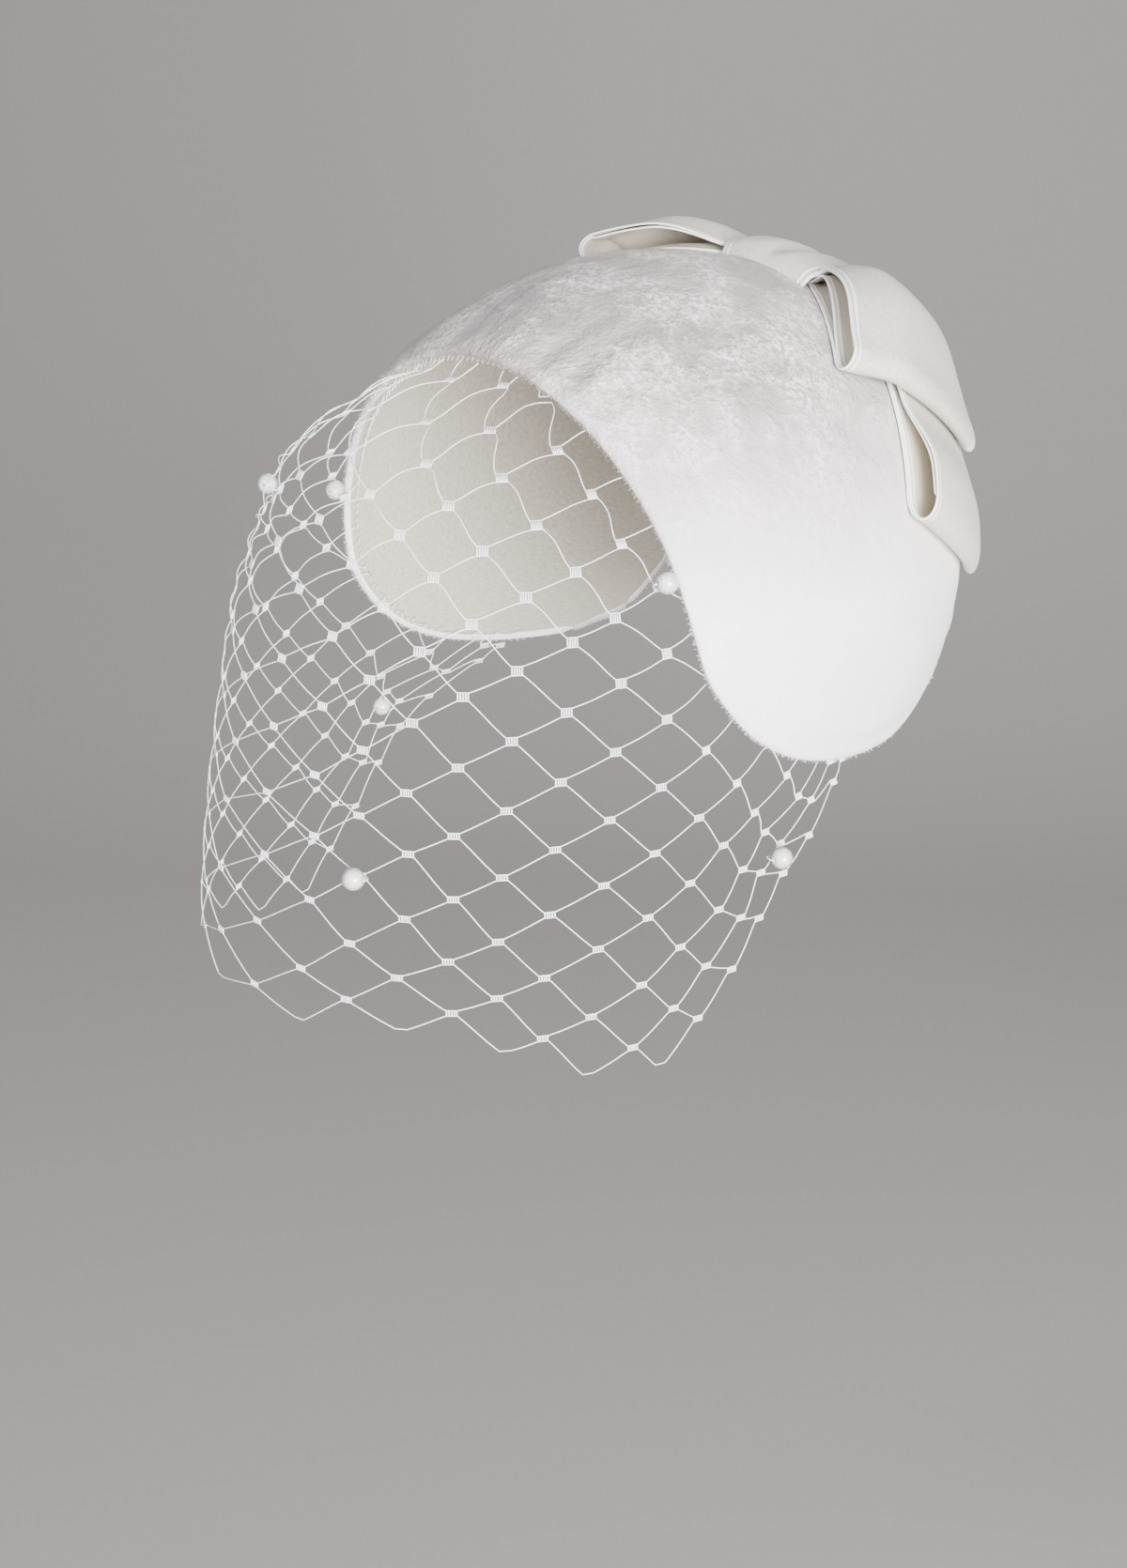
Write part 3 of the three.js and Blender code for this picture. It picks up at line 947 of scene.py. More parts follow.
@dataclass(frozen=True)
class StageFinish:
    """Matt pale paper under and behind the hat."""

    colour: Colour = (0.275, 0.262, 0.254, 1)
    grain: float = 260.0

    def make(self) -> Material:
        """Makes the paper.

        Returns:
            The material.
        """
        material, g, shader = start_material("stage_paper", {"Specular IOR Level": 0.1})
        grain = g.noise(g.on_piece(), self.grain, 3.0)
        lighter = tuple(min(c * 1.04, 1) for c in self.colour[:3]) + (1,)
        g.dress(shader, g.mix(grain, self.colour, lighter), g.ramp(grain, 0, 1, 0.85, 0.95))
        return material


# Geometry Nodes


class NodeBuild:
    """A Geometry Nodes tree that sets round solids on a guide and makes them a plain mesh."""

    def __init__(self, name: str, radius: float, sides: int, material: Material) -> None:
        """Starts the tree.

        Args:
            name: Name of the tree.
            radius: Radius of its solids, in millimetres.
            sides: Sides of their section.
            material: Material of the new piece.
        """
        self.values = {"Radius": radius * MM, "Sides": sides, "Material": material}
        self.tree = bpy.data.node_groups.new(name, "GeometryNodeTree")
        new_socket = self.tree.interface.new_socket
        for label, kind in (
            ("Geometry", "NodeSocketGeometry"), ("Radius", "NodeSocketFloat"),
            ("Sides", "NodeSocketInt"), ("Material", "NodeSocketMaterial"),
        ):
            new_socket(name=label, in_out="INPUT", socket_type=kind)
        new_socket(name="Geometry", in_out="OUTPUT", socket_type="NodeSocketGeometry")
        self.graph = Graph(self.tree)
        self.given = self.graph.add("NodeGroupInput").outputs
        self.result = self.graph.add("NodeGroupOutput")

    def end(self, geometry: Socket) -> None:
        """Ends the tree in smooth shading, real instances and the material.

        Args:
            geometry: What the tree has made.
        """
        smooth = self.graph.add("GeometryNodeSetShadeSmooth", {"Geometry": geometry})
        real = self.graph.add("GeometryNodeRealizeInstances", {"Geometry": smooth.outputs[0]})
        inputs = {"Geometry": real.outputs[0], "Material": self.given["Material"]}
        dressed = self.graph.add("GeometryNodeSetMaterial", inputs)
        self.tree.links.new(dressed.outputs[0], self.result.inputs[0])

    def apply(self, guide: Piece, name: str) -> Piece:
        """Runs the tree on a guide.

        Args:
            guide: Object with the guide mesh. It is removed.
            name: Name of the new piece.

        Returns:
            The piece, a plain mesh without a modifier.
        """
        modifier = guide.modifiers.new(name, "NODES")
        modifier.node_group = self.tree
        for item in self.tree.interface.items_tree:
            if item.in_out == "INPUT" and item.name in self.values:
                modifier[item.identifier] = self.values[item.name]
        bpy.context.view_layer.update()
        evaluated = guide.evaluated_get(bpy.context.evaluated_depsgraph_get())
        mesh = bpy.data.meshes.new_from_object(evaluated)
        mesh.name = name
        piece = bpy.data.objects.new(name, mesh)
        bpy.context.scene.collection.objects.link(piece)
        bpy.data.objects.remove(guide)
        return piece


def lay_thread(
    name: str, paths: list[Array], radius: float, sides: int, material: Material
) -> Piece:
    """Lays round thread along paths.

    Args:
        name: Name of the piece.
        paths: Points of each thread.
        radius: Radius of the thread.
        sides: Sides of its section.
        material: Its material.

    Returns:
        The piece.
    """
    edges, first = [], 0
    for path in paths:
        edges += [(first + k, first + k + 1) for k in range(len(path) - 1)]
        first += len(path)
    build = NodeBuild("thread_along_path", radius, sides, material)
    g, given = build.graph, build.given
    curves = g.add("GeometryNodeMeshToCurve", {"Mesh": given["Geometry"]})
    section = {"Resolution": given["Sides"], "Radius": given["Radius"]}
    ring = g.add("GeometryNodeCurvePrimitiveCircle", section)
    inputs = {"Curve": curves.outputs[0], "Profile Curve": ring.outputs[0], "Fill Caps": True}
    build.end(g.add("GeometryNodeCurveToMesh", inputs).outputs[0])
    return build.apply(mesh_piece("thread_guide", np.concatenate(paths), [], edges), name)


def set_bars(
    name: str, middles: Array, ways: Array, radius: float, sides: int,
    material: Material,
) -> Piece:
    """Sets a short round bar on each point.

    Args:
        name: Name of the piece.
        middles: Middle of each bar.
        ways: Direction of each bar, as long as the bar.
        radius: Radius of the bars.
        sides: Sides of their section.
        material: Their material.

    Returns:
        The piece.
    """
    build = NodeBuild("bar_on_point", radius, sides, material)
    g, given = build.graph, build.given
    way = g.add("GeometryNodeInputNamedAttribute", {"Name": "way"}, data_type="FLOAT_VECTOR")
    turn = g.add("FunctionNodeAlignRotationToVector", {"Vector": way.outputs[0]}, axis="Z")
    length = g.add("ShaderNodeVectorMath", {0: way.outputs[0]}, operation="LENGTH")
    size = g.add("ShaderNodeCombineXYZ", {"X": 1.0, "Y": 1.0, "Z": length.outputs["Value"]})
    section = {"Vertices": given["Sides"], "Radius": given["Radius"], "Depth": 1.0}
    bar = g.add("GeometryNodeMeshCylinder", section)
    inputs = {
        "Points": given["Geometry"], "Instance": bar.outputs["Mesh"],
        "Rotation": turn.outputs[0], "Scale": size.outputs[0],
    }
    build.end(g.add("GeometryNodeInstanceOnPoints", inputs).outputs[0])
    guide = mesh_piece("bar_guide", middles, [])
    add_attribute(guide, "way", ways * MM)
    return build.apply(guide, name)


# Sub-assemblies


@dataclass
class Crown:
    """Velvet crown that saddles the head and covers the ears."""

    form: CrownForm
    steps: tuple[int, int] = (280, 96)
    unevenness: float = 0.11
    roll: float = 4.5
    thinned: float = 0.9
    fibres: int = 9000
    fibre_length: tuple[float, float] = (0.4, 0.9)
    fibre_radius: float = 0.035
    fibre_spread: float = 0.35
    nap_width: float = 1.6
    waves: Table = Table(
        ("along", "across", "phase"),
        ((61, 83, 0.4), (47, -52, 2.1), (93, 38, 4.0), (29, 71, 1.2), (37, -29, 5.1)),
    )
    puckers: Table = Table(
        ("side", "reach", "width", "depth"),
        (
            (-36, 20, 4, 0.6), (9, 15, 3, 0.5), (17, 24, 3.4, 0.9),
            (24, 28, 3.6, 1.0), (33, 17, 3, 0.5), (62, 14, 4, 0.4),
        ),
    )

    def walls(self, u: Array, v: Array) -> Array:
        """Thickness of the crown, with its rounded edge, unevenness and puckers.

        Args:
            u: Place from one ear lobe (0) to the other (1).
            v: Place from the front rim (0) to the back rim (1).

        Returns:
            The thickness at each point.
        """
        full = self.form.wall
        middle = Sheet(self.form.between_rims(u, v, -full / 2), np.array(full))
        along, across = middle.lengths()
        end = np.minimum(along, along[-1:] - along)
        edge = np.minimum(np.minimum(across, across[:, -1:] - across), end)
        rounded = np.sqrt(np.clip(1 - (1 - np.clip(edge / self.roll, 0, 1)) ** 2, 0, 1))
        wall = full - self.thinned * (1 - rounded)
        uneven = swell(along, across, self.waves, self.unevenness)
        wall = wall + uneven * smoothstep(edge, 1, 9)
        place = self.form.rim.read("front_side", np.abs(2 * u - 1)) * np.sign(2 * u - 1)
        for side, reach, width, depth in self.puckers.rows:
            off = (place - side) * 1.35 / width
            fade = np.exp(-((across / reach) ** 2))
            wall = wall - depth * np.exp(-(off**2)) * fade * smoothstep(across, 0, 2.5)
            wall = wall + 0.6 * depth * np.exp(-((off - 1.9) ** 2)) * fade
        return wall

    def build(self, velvet: Material, back: Material) -> list[Piece]:
        """Builds the crown in place of its solid.

        Args:
            velvet: Material of the pile.
            back: Material of the inside.

        Returns:
            The crown and the loose pile at its edge.
        """
        u, v = np.meshgrid(*(np.linspace(0, 1, n + 1) for n in self.steps), indexing="ij")
        outer = self.form.between_rims(u, v, 0)
        out = unit(outer - self.form.between_rims(u, v, -1.0))
        inner = outer - out * self.form.wall
        wall = self.walls(u, v)
        top = inner + out * wall[..., None]
        cloth = Sheet((top + inner) / 2, wall, roll_steps=7, bulge=0.42)
        piece = cloth.build("crown_velvet")
        piece.data.materials.append(velvet)
        piece.data.materials.append(back)
        hand_in(piece, "crown_shell")
        return [piece, self.edge_nap(piece, velvet)]

    def edge_nap(self, cloth: Piece, velvet: Material) -> Piece:
        """Sets short loose fibres of the pile round the crown's edge.

        Args:
            cloth: The crown's cloth.
            velvet: Material of its pile.

        Returns:
            The piece.
        """
        rng = np.random.default_rng(5)
        count = len(cloth.data.vertices)
        points, normals = np.zeros(count * 3, np.float32), np.zeros(count * 3, np.float32)
        cloth.data.vertices.foreach_get("co", points)
        cloth.data.vertices.foreach_get("normal", normals)
        edge = np.zeros(count, np.float32)
        cloth.data.attributes["edge"].data.foreach_get("value", edge)
        side = math.prod(n + 1 for n in self.steps)
        number = np.arange(count)
        near = (number < side) & (edge < self.nap_width * MM)
        picked = rng.choice(np.flatnonzero((number >= 2 * side) | near), self.fibres)
        points, normals = points.reshape(-1, 3)[picked] / MM, normals.reshape(-1, 3)[picked]
        ways = unit(normals + rng.normal(0, self.fibre_spread, normals.shape))
        ways = ways * rng.uniform(*self.fibre_length, (self.fibres, 1))
        aside = rng.normal(0, self.fibre_spread, points.shape) * (1 - np.abs(normals))
        middles = points + aside + ways / 2
        nap = set_bars("crown_edge_nap", middles, ways, self.fibre_radius, 3, velvet)
        hand_in(nap)
        return nap


@dataclass(frozen=True)
class Corner:
    """Place on the crown, in degrees."""

    side: float
    along: float


@dataclass(frozen=True)
class LoopForm:
    """One ribbon loop: its corners on the crown, and how its two layers stand apart.

    Heights are in millimetres. The places where it opens, puffs and folds are shares of its
    way from the knot (0) to the fold (1).
    """

    knot_front: Corner
    knot_back: Corner
    fold_front: Corner
    fold_back: Corner
    rest_front: float
    rest_back: float
    pinch: float
    open: float
    open_back: float
    opens: tuple[float, float]
    fold_from: float
    swell: float
    lift: float
    rises: tuple[float, float] = (0.17, 0.5)
    sinks: tuple[float, float] = (0.6, 0.98)
    unlifts: tuple[float, float] = (0.38, 0.9)
    beside: float = 11.5
    ramp: float = 0.28

    def apart(self, out: Array, v: Array) -> Array:
        """Distance between the two layers.

        Args:
            out: Place from the knot (0) to the fold (1).
            v: Place from the front edge (0) to the back edge (1).

        Returns:
            The distance at each point.
        """
        opened = smoothstep(out, *self.opens)
        rise = smoothstep(out, *self.rises) * (1 - smoothstep(out, *self.sinks))
        puff = self.swell * rise * np.sin(np.pi * v) ** 0.8
        return lerp(self.pinch, lerp(self.open, self.open_back, v), opened) + puff

    def spread(self, name: str, out: Array, v: Array) -> Array:
        """Side or along of points between the four corners."""
        corners = (self.knot_front, self.fold_front, self.knot_back, self.fold_back)
        a, b, c, d = (getattr(corner, name) for corner in corners)
        return lerp(lerp(a, b, out), lerp(c, d, out), v)

    def centre(
        self, crown: CrownForm, middle: float, hand: Hand, ply: Ply, steps: tuple[int, int, int]
    ) -> tuple[Array, Array]:
        """Middle surface of the loop.

        Args:
            crown: Form that it lies on.
            middle: Degrees from the top to the bow's middle.
            hand: Side of the bow.
            ply: Outer or inner cloth. Only the inner one is lifted under the loop too.
            steps: Steps along each layer, round the fold and across the ribbon.

        Returns:
            The grid of points, and how far the layers stand apart beyond their pinch, which
            is 0 on the lower layer.
        """
        layer, fold, across = steps
        count = 2 * layer + fold
        step, v = np.meshgrid(
            np.arange(count + 1.0), np.linspace(0, 1, across + 1), indexing="ij"
        )
        lower, upper = step <= layer, step >= layer + fold
        turn = np.pi * (np.clip((step - layer) / fold, 0, 1) - 0.5)
        bend = self.fold_from + (1 - self.fold_from) * np.cos(turn)
        back = np.where(upper, self.fold_from * (count - step) / layer, bend)
        out = np.where(lower, self.fold_from * step / layer, back)
        low = lerp(self.rest_front, self.rest_back, smoothstep(v, 0, self.ramp))
        half = self.apart(np.full_like(v, self.fold_from), v) / 2
        risen = np.where(upper, low + self.apart(out, v), low + half + half * np.sin(turn))
        height = np.where(lower, low, risen)
        side, along = self.spread("side", out, v), self.spread("along", out, v)
        root = smoothstep(side - self.beside, -2.5, 2.5) * (1 - smoothstep(out, *self.unlifts))
        if ply is Ply.OUTER:
            root = np.where(lower, 0, root)
        height = height + self.lift * root * (1 - 0.75 * smoothstep(v, 0, 0.6))
        raised = np.where(upper, self.apart(out, v) - self.pinch, 0)
        return crown.over(middle + side * hand.value, along, height), raised


@dataclass
class Bow:
    """Flat bow of two pairs of doubled ribbon loops, bound by a pleated knot."""

    crown: CrownForm
    middle: float = 10.5
    ply: float = 0.4
    wall: float = 1.0
    inset: float = 0.7
    ribbon_width: float = 60
    selvedge: tuple[float, float] = (0.14, 0.6)
    steps: tuple[int, int, int] = (44, 22, 40)
    knot_steps: tuple[int, int] = (96, 56)
    knot_half: float = 11.5
    knot_ends: tuple[float, float] = (26, 66.5)
    knot_rest: float = 0.75
    knot_rise: float = 9.1
    knot_wall: float = 1.2
    knot_folds: Table = Table(
        ("at", "width", "front_depth", "back_depth"),
        ((0, 2.6, 2.5, 0.6), (6.8, 1.6, 0.35, 0.35), (-6.4, 1.5, 0.3, 0.3)),
    )
    fullness: dict[Hand, float] = field(default_factory=lambda: {Hand.LEFT: 1.0, Hand.RIGHT: 0.55})
    loops: dict[Tier, LoopForm] = field(
        default_factory=lambda: {
            Tier.UPPER: LoopForm(
                knot_front=Corner(2, 34), knot_back=Corner(3, 55),
                fold_front=Corner(36, 13), fold_back=Corner(58, 42),
                rest_front=1.05, rest_back=4.8, pinch=1.8, open=7.0, open_back=3.6,
                opens=(0.26, 0.7), fold_from=0.93, swell=4.8, lift=4.2,
            ),
            Tier.LOWER: LoopForm(
                knot_front=Corner(2, 40), knot_back=Corner(3, 54),
                fold_front=Corner(64.5, 15.5), fold_back=Corner(86.5, 41),
                rest_front=1.05, rest_back=1.05, pinch=2.2, open=8.2, open_back=3.8,
                opens=(0.66, 0.88), fold_from=0.94, swell=0, lift=0,
            ),
        }
    )

    def surface(self, tier: Tier, hand: Hand, ply: Ply) -> tuple[Sheet, bool]:
        """Shapes one cloth of one loop.

        Args:
            tier: Upper or lower loop.
            hand: Side of the hat.
            ply: Outer or inner cloth.

        Returns:
            The cloth, and whether its first face is the loop's outside.
        """
        layer, fold, across = self.steps
        form = self.loops[tier]
        lift = form.lift if hand is Hand.LEFT else 0
        form = replace(form, swell=form.swell * self.fullness[hand], lift=lift)
        centre, raised = form.centre(self.crown, self.middle, hand, ply, self.steps)
        normal = Sheet(centre, np.array(self.ply)).normals()
        # The fold's middle shows which way is out of the loop
        middle = centre[layer + fold // 2, across // 2] - centre[layer, across // 2]
        sign = np.sign((normal[layer + fold // 2, across // 2] * middle).sum())
        out = normal * sign
        if ply is Ply.OUTER:
            offset = np.full_like(raised, self.wall / 2 - self.ply / 2)
        else:
            offset = self.wall / 2 - self.ply * 1.5 - 0.1 - 0.1 * raised
            share = 1 - 2 * self.inset / self.ribbon_width
            v = np.linspace(0.5 - share / 2, 0.5 + share / 2, across + 1) * across
            low = np.clip(v.astype(int), 0, across - 1)
            blend = (v - low)[None, :, None]

            def pick(grid: Array) -> Array:
                """Values of the grid at the narrower cloth's places."""
                return grid[:, low] * (1 - blend) + grid[:, low + 1] * blend

            centre, out = pick(centre), unit(pick(out))
            offset = pick(offset[..., None])[..., 0]
        return Sheet(centre + out * offset[..., None], np.array(self.ply)), bool(sign > 0)

    def ribbon(
        self, tier: Tier, hand: Hand, ply: Ply, satin: Material, inside: Material
    ) -> Piece:
        """Builds one cloth of one loop.

        Args:
            tier: Upper or lower loop.
            hand: Side of the hat.
            ply: Outer or inner cloth.
            satin: Material of the loop's outside.
            inside: Material of the loop's inside.

        Returns:
            The piece.
        """
        sheet, outward = self.surface(tier, hand, ply)
        along, width = sheet.lengths()
        edge = np.minimum(width, width[:, -1:] - width)
        thicker, reach = self.selvedge
        sheet.thickness = self.ply + thicker * np.exp(-((edge / reach) ** 2))
        node = f"bow_{tier.value}_loop_{hand.name.lower()}"
        piece = sheet.build(f"{node}_{ply.value}")
        # The inner cloth and the loop's inside take the warmer painted shade finish
        sides = [inside, inside] if ply is Ply.INNER else [satin, inside]
        for cloth in sides if outward else sides[::-1]:
            piece.data.materials.append(cloth)
        hand_in(piece, node if ply is Ply.OUTER else None)
        return piece

    def knot(self, satin: Material) -> Piece:
        """Builds the pleated band round the middle of the bow.

        Args:
            satin: Its material.

        Returns:
            The piece.
        """
        u, v = np.meshgrid(*(np.linspace(0, 1, n + 1) for n in self.knot_steps), indexing="ij")
        side = self.knot_half * (2 * v - 1)
        arch = np.maximum(np.sin(np.pi * u), 0) ** 0.35
        lean = side - 1.2 * np.sin(2 * np.pi * u)
        folds = 1.6 * np.exp(-(((np.abs(side) - self.knot_half) / 2.2) ** 2))
        for at, width, front_depth, back_depth in self.knot_folds.rows:
            folds += lerp(front_depth, back_depth, u) * np.exp(-(((lean - at) / width) ** 2))
        wave = 0.6 * np.abs(np.sin(np.pi * lean / self.knot_half))
        height = self.knot_rest + arch * (self.knot_rise - folds + wave)
        centre = self.crown.over(self.middle + side, lerp(*self.knot_ends, u), height)
        piece = Sheet(centre, np.array(self.knot_wall)).build("bow_knot_band")
        piece.data.materials.append(satin)
        faces = len(piece.data.polygons)
        piece.data.polygons.foreach_set("material_index", np.zeros(faces, np.int32))
        hand_in(piece, "bow_knot")
        return piece

    def build(self, satin: Material, inside: Material) -> list[Piece]:
        """Builds all loops and the knot.

        Args:
            satin: Material of the ribbon's outside.
            inside: Material of its inside.

        Returns:
            The pieces.
        """
        pieces = [
            self.ribbon(tier, hand, ply, satin, inside)
            for tier in Tier for hand in Hand for ply in Ply
        ]
        return pieces + [self.knot(satin)]


@dataclass(frozen=True)
class Junction:
    """Middle of a ladder, and the directions of the veil's face there."""

    at: Array
    level: Array
    rising: Array
    out: Array


@dataclass
class Veil:
    """Diamond net of white thread, joined by small ladders where its threads meet.

    Junctions lie where column + row is odd, and cells where it is even. Row 0 is the hem
    and column 0 the middle of the face. A thread zigzags between its own row and the next.
    """

    form: VeilForm
    thread: float = 0.145
    bar: float = 0.23
    stitch: float = 0.13
    stitches: int = 150
    stitch_slant: float = 0.5
    ladders: Table = Table(("row", "width", "height"), ((7, 2.9, 1.4), (13, 2.8, 2.3)))
    bars: int = 5
    bars_width: float = 4.6
    last_column: int = 18
    last_row: int = 21
    corner_cut: int = 8
    end_turn: float = 99
    strand_steps: int = 9
    curve: tuple[float, float] = (0.05, 0.17)
    curved_rows: tuple[float, float] = (9, 15)
    bulge: tuple[float, float] = (0.25, 1.2)
    bulged_rows: tuple[float, float] = (7, 16)
    stiffness: float = 1.15
    pull_floor: float = 0.25
    pull_reach: float = 1.6
    pull_gain: float = 1.25
    columns: Table = Table(
        ("column", "hem", "top"),
        (
            (0, 0, 0), (2, 18.2, 18.6), (4, 35.7, 35.7), (6, 50.1, 53.6), (8, 64, 69.6),
            (10, 73.2, 83.1), (12, 81.9, 92), (14, 87.2, 98), (16, 88.1, 103.6), (18, 92, 108),
        ),
    )
    rows: Table = Table(
        ("row", "z"),
        ((0, -174.2), (4, -142.8), (8, -110.2), (12, -76.8), (16, -44.5), (20, -15.8), (22, -3)),
    )
    droop: Table = Table(
        ("turn", "z"), ((0, 0), (26, -0.3), (50, -6), (68, -11.4), (80, -13.5), (95, -13.5))
    )
    seats: Table = Table(
        ("column", "row", "turn", "z"),
        (
            (0, 1, 0, -170.4), (1, 0, 8.8, -173), (2, 1, 18.1, -164.7), (3, 0, 28.8, -169.9),
            (4, 1, 35.9, -165.3), (5, 0, 46.1, -175.9), (6, 1, 50, -173.3), (7, 0, 57.6, -185.9),
            (8, 1, 63.9, -180.4), (9, 0, 67.7, -187.4), (9, 2, 70.2, -173.1), (10, 1, 73.6, -174.6),
            (10, 3, 74.2, -164.1), (10, 5, 76, -148.1), (11, 2, 78.1, -164.3), (12, 3, 81.7, -153.6),
            (12, 7, 82.3, -130), (12, 9, 87.5, -120.3), (13, 4, 85.1, -143.5), (13, 6, 83.3, -137.4),
            (13, 8, 88.9, -127.4), (14, 5, 88.9, -136), (14, 7, 89.5, -130.5), (15, 6, 94.6, -123),
            (2, 5, 20, -132), (8, 15, 66.5, -65.4),
        ),
    )
    far_seats: Table = Table(
        ("column", "row", "turn", "z"), ((-1, 4, -9.3, -145.6), (-5, 16, -44.7, -56.6))
    )

    def place(self, column: int, row: int) -> tuple[float, float]:
        """Finds a point of the lattice, drawn towards the measured places.

        Args:
            column: Its column, below 0 on the wearer's right.
            row: Its row.

        Returns:
            Its turn and height.
        """
        sign = -1 if column < 0 else 1
        far = abs(column)
        turn, z = self.regular(far, row)
        pull = self.pull(far, row, self.seats)
        turn, z = sign * (turn + pull[0]), z + pull[1]
        if sign < 0:
            pull = self.pull(column, row, self.far_seats)
            turn, z = turn + pull[0], z + pull[1]
        return turn, z

    def regular(self, column: float, row: float) -> tuple[float, float]:
        """Finds a point of the even lattice.

        Args:
            column: Its column.
            row: Its row.

        Returns:
            Its turn and height.
        """
        hem, top = (self.columns.read(end, abs(column)) for end in ("hem", "top"))
        turn = float(lerp(hem, top, row / 16))
        z = float(self.rows.read("z", row) + self.droop.read("z", turn))
        return (-turn if column < 0 else turn), z

    def pull(self, column: float, row: float, seats: Table) -> tuple[float, float]:
        """How far the net is drawn from its even lattice towards measured places near by.

        Args:
            column: Column of the point.
            row: Row of the point.
            seats: The measured places.

        Returns:
            The change of its turn and of its height.
        """
        total, turn, z = self.pull_floor, 0.0, 0.0
        for c, r, at, height in seats.rows:
            weight = math.exp(-((column - c) ** 2 + (row - r) ** 2) / self.pull_reach)
            even = self.regular(c, r)
            total += weight
            turn += weight * (at - even[0]) * self.pull_gain
            z += weight * (height - even[1]) * self.pull_gain
        return turn / total, z / total

    def strands(self) -> set[tuple[int, int]]:
        """Strands of all cells that the veil has.

        Returns:
            Each strand as its thread's number and its left column.
        """
        found = set()
        rim = self.form.stitched()
        for column in range(-self.last_column, self.last_column + 1):
            for row in range(1, self.last_row + 1):
                if (column + row) % 2 or abs(column) - row > self.corner_cut:
                    continue
                turn, z = self.place(column, row)
                if abs(turn) > self.end_turn - 4 or z > float(rim.read("z", abs(turn))) + 8:
                    continue
                for thread in (row - 1, row):
                    found.update(((thread, column - 1), (thread, column)))
        return found

    def junction(self, column: int, row: int) -> Junction:
        """Junction of the net at a point of the lattice."""
        turn, z = (np.array(value) for value in self.place(column, row))
        return Junction(self.form.on(turn, z), *self.form.frames(turn, z))

    @staticmethod
    def row_of(thread: int, column: int) -> int:
        """Row of the junction where a thread crosses a column."""
        return thread if (column + thread) % 2 else thread + 1

    def strand(self, start: Array, end: Array, joints: list[Junction], row: int) -> Array:
        """Curve of one strand between two ladders.

        Args:
            start: Corner that it leaves.
            end: Corner that it reaches.
            joints: Junction at each end.
            row: Row of its thread, which sets how far it curves.

        Returns:
            Points between the two corners.
        """
        chord = end - start
        reach = np.linalg.norm(chord)
        curve = self.curve[0] + self.curve[1] * float(smoothstep(row, *self.curved_rows))
        bulge = self.bulge[0] + self.bulge[1] * float(smoothstep(row, *self.bulged_rows))
        leave, arrive = (
            unit(unit(chord) * (1 - curve) + joint.level * curve) * reach * self.stiffness
            for joint in joints
        )
        t = np.linspace(0, 1, self.strand_steps + 1)[1:-1, None]
        path = (
            (2 * t**3 - 3 * t**2 + 1) * start + (t**3 - 2 * t**2 + t) * leave
            + (3 * t**2 - 2 * t**3) * end + (t**3 - t**2) * arrive
        )
        return path + unit(joints[0].out + joints[1].out) * bulge * np.sin(np.pi * t)

    def path(self, joints: dict[tuple[int, int], Junction], thread: int, run: list[int]) -> Array:
        """Way of one thread through its ladders.

        Args:
            joints: All junctions, by column and row.
            thread: Number of the thread.
            run: Left columns of its strands, without a gap.

        Returns:
            Its points.
        """
        def corner(column: int, hand: int) -> Array:
            """Corner of a ladder at its left (-1) or right end (1)."""
            row = self.row_of(thread, column)
            joint, lift = joints[column, row], 1 if row == thread else -1
            width, height = (self.ladders.read(size, row) for size in ("width", "height"))
            return joint.at + joint.level * hand * width / 2 + joint.rising * lift * height / 2

        points = [corner(run[0], -1)]
        for left in run:
            start, end = corner(left, 1), corner(left + 1, -1)
            ends = [joints[column, self.row_of(thread, column)] for column in (left, left + 1)]
            points += [start, *self.strand(start, end, ends, thread), end]
        points.append(corner(run[-1] + 1, 1))
        return np.array(points)

    def threads(self) -> tuple[list[Array], list[Array], list[Array]]:
        """Lays out the whole net.

        Returns:
            Paths of the threads, and the middles and the ways of the ladders' bars.
        """
        strands, rim = self.strands(), self.form.stitched()
        touched: dict[tuple[int, int], set[int]] = {}
        for thread, left in sorted(strands):
            for column in (left, left + 1):
                touched.setdefault((column, self.row_of(thread, column)), set()).add(thread)
        joints = {key: self.junction(*key) for key in touched}
        paths, middles, ways = [], [], []
        for thread in sorted({t for t, _ in strands}):
            runs: list[list[int]] = []
            for left in sorted(c for t, c in strands if t == thread):
                if runs and runs[-1][-1] == left - 1:
                    runs[-1].append(left)
                else:
                    runs.append([left])
            for run in runs:
                paths += self.under_rim(self.path(joints, thread, run), rim)
        for (column, row), used in touched.items():
            joint = joints[column, row]
            turn, _ = self.form.turn_and_size(joint.at[:1], joint.at[1:2])
            if len(used) < 2 or joint.at[2] > float(rim.read("z", abs(turn))[0]) - 1.5:
                continue
            width, height = (self.ladders.read(size, row) for size in ("width", "height"))
            for n in range(-(self.bars // 2), self.bars // 2 + 1):
                middles.append(joint.at + joint.level * n * width / self.bars_width)
                ways.append(joint.rising * height)
        return paths, middles, ways

    def under_rim(self, path: Array, rim: Table) -> list[Array]:
        """Cuts a path off on the line where the veil is stitched.

        Args:
            path: Its points.
            rim: Height of the line, by turn.

        Returns:
            The parts of the path below the line.
        """
        turn, _ = self.form.turn_and_size(path[:, 0], path[:, 1])
        below = rim.read("z", np.abs(turn)) - path[:, 2]
        inside = (below > 0) & (np.abs(turn) < self.end_turn)
        parts: list[list[Array]] = [[]]
        for k, here in enumerate(inside):
            if k and here != inside[k - 1] and below[k] * below[k - 1] < 0:
                t = below[k - 1] / (below[k - 1] - below[k])
                parts[-1].append(lerp(path[k - 1], path[k], t))
            if here:
                parts[-1].append(path[k])
            elif parts[-1]:
                parts.append([])
        return [np.array(part) for part in parts if len(part) > 1]

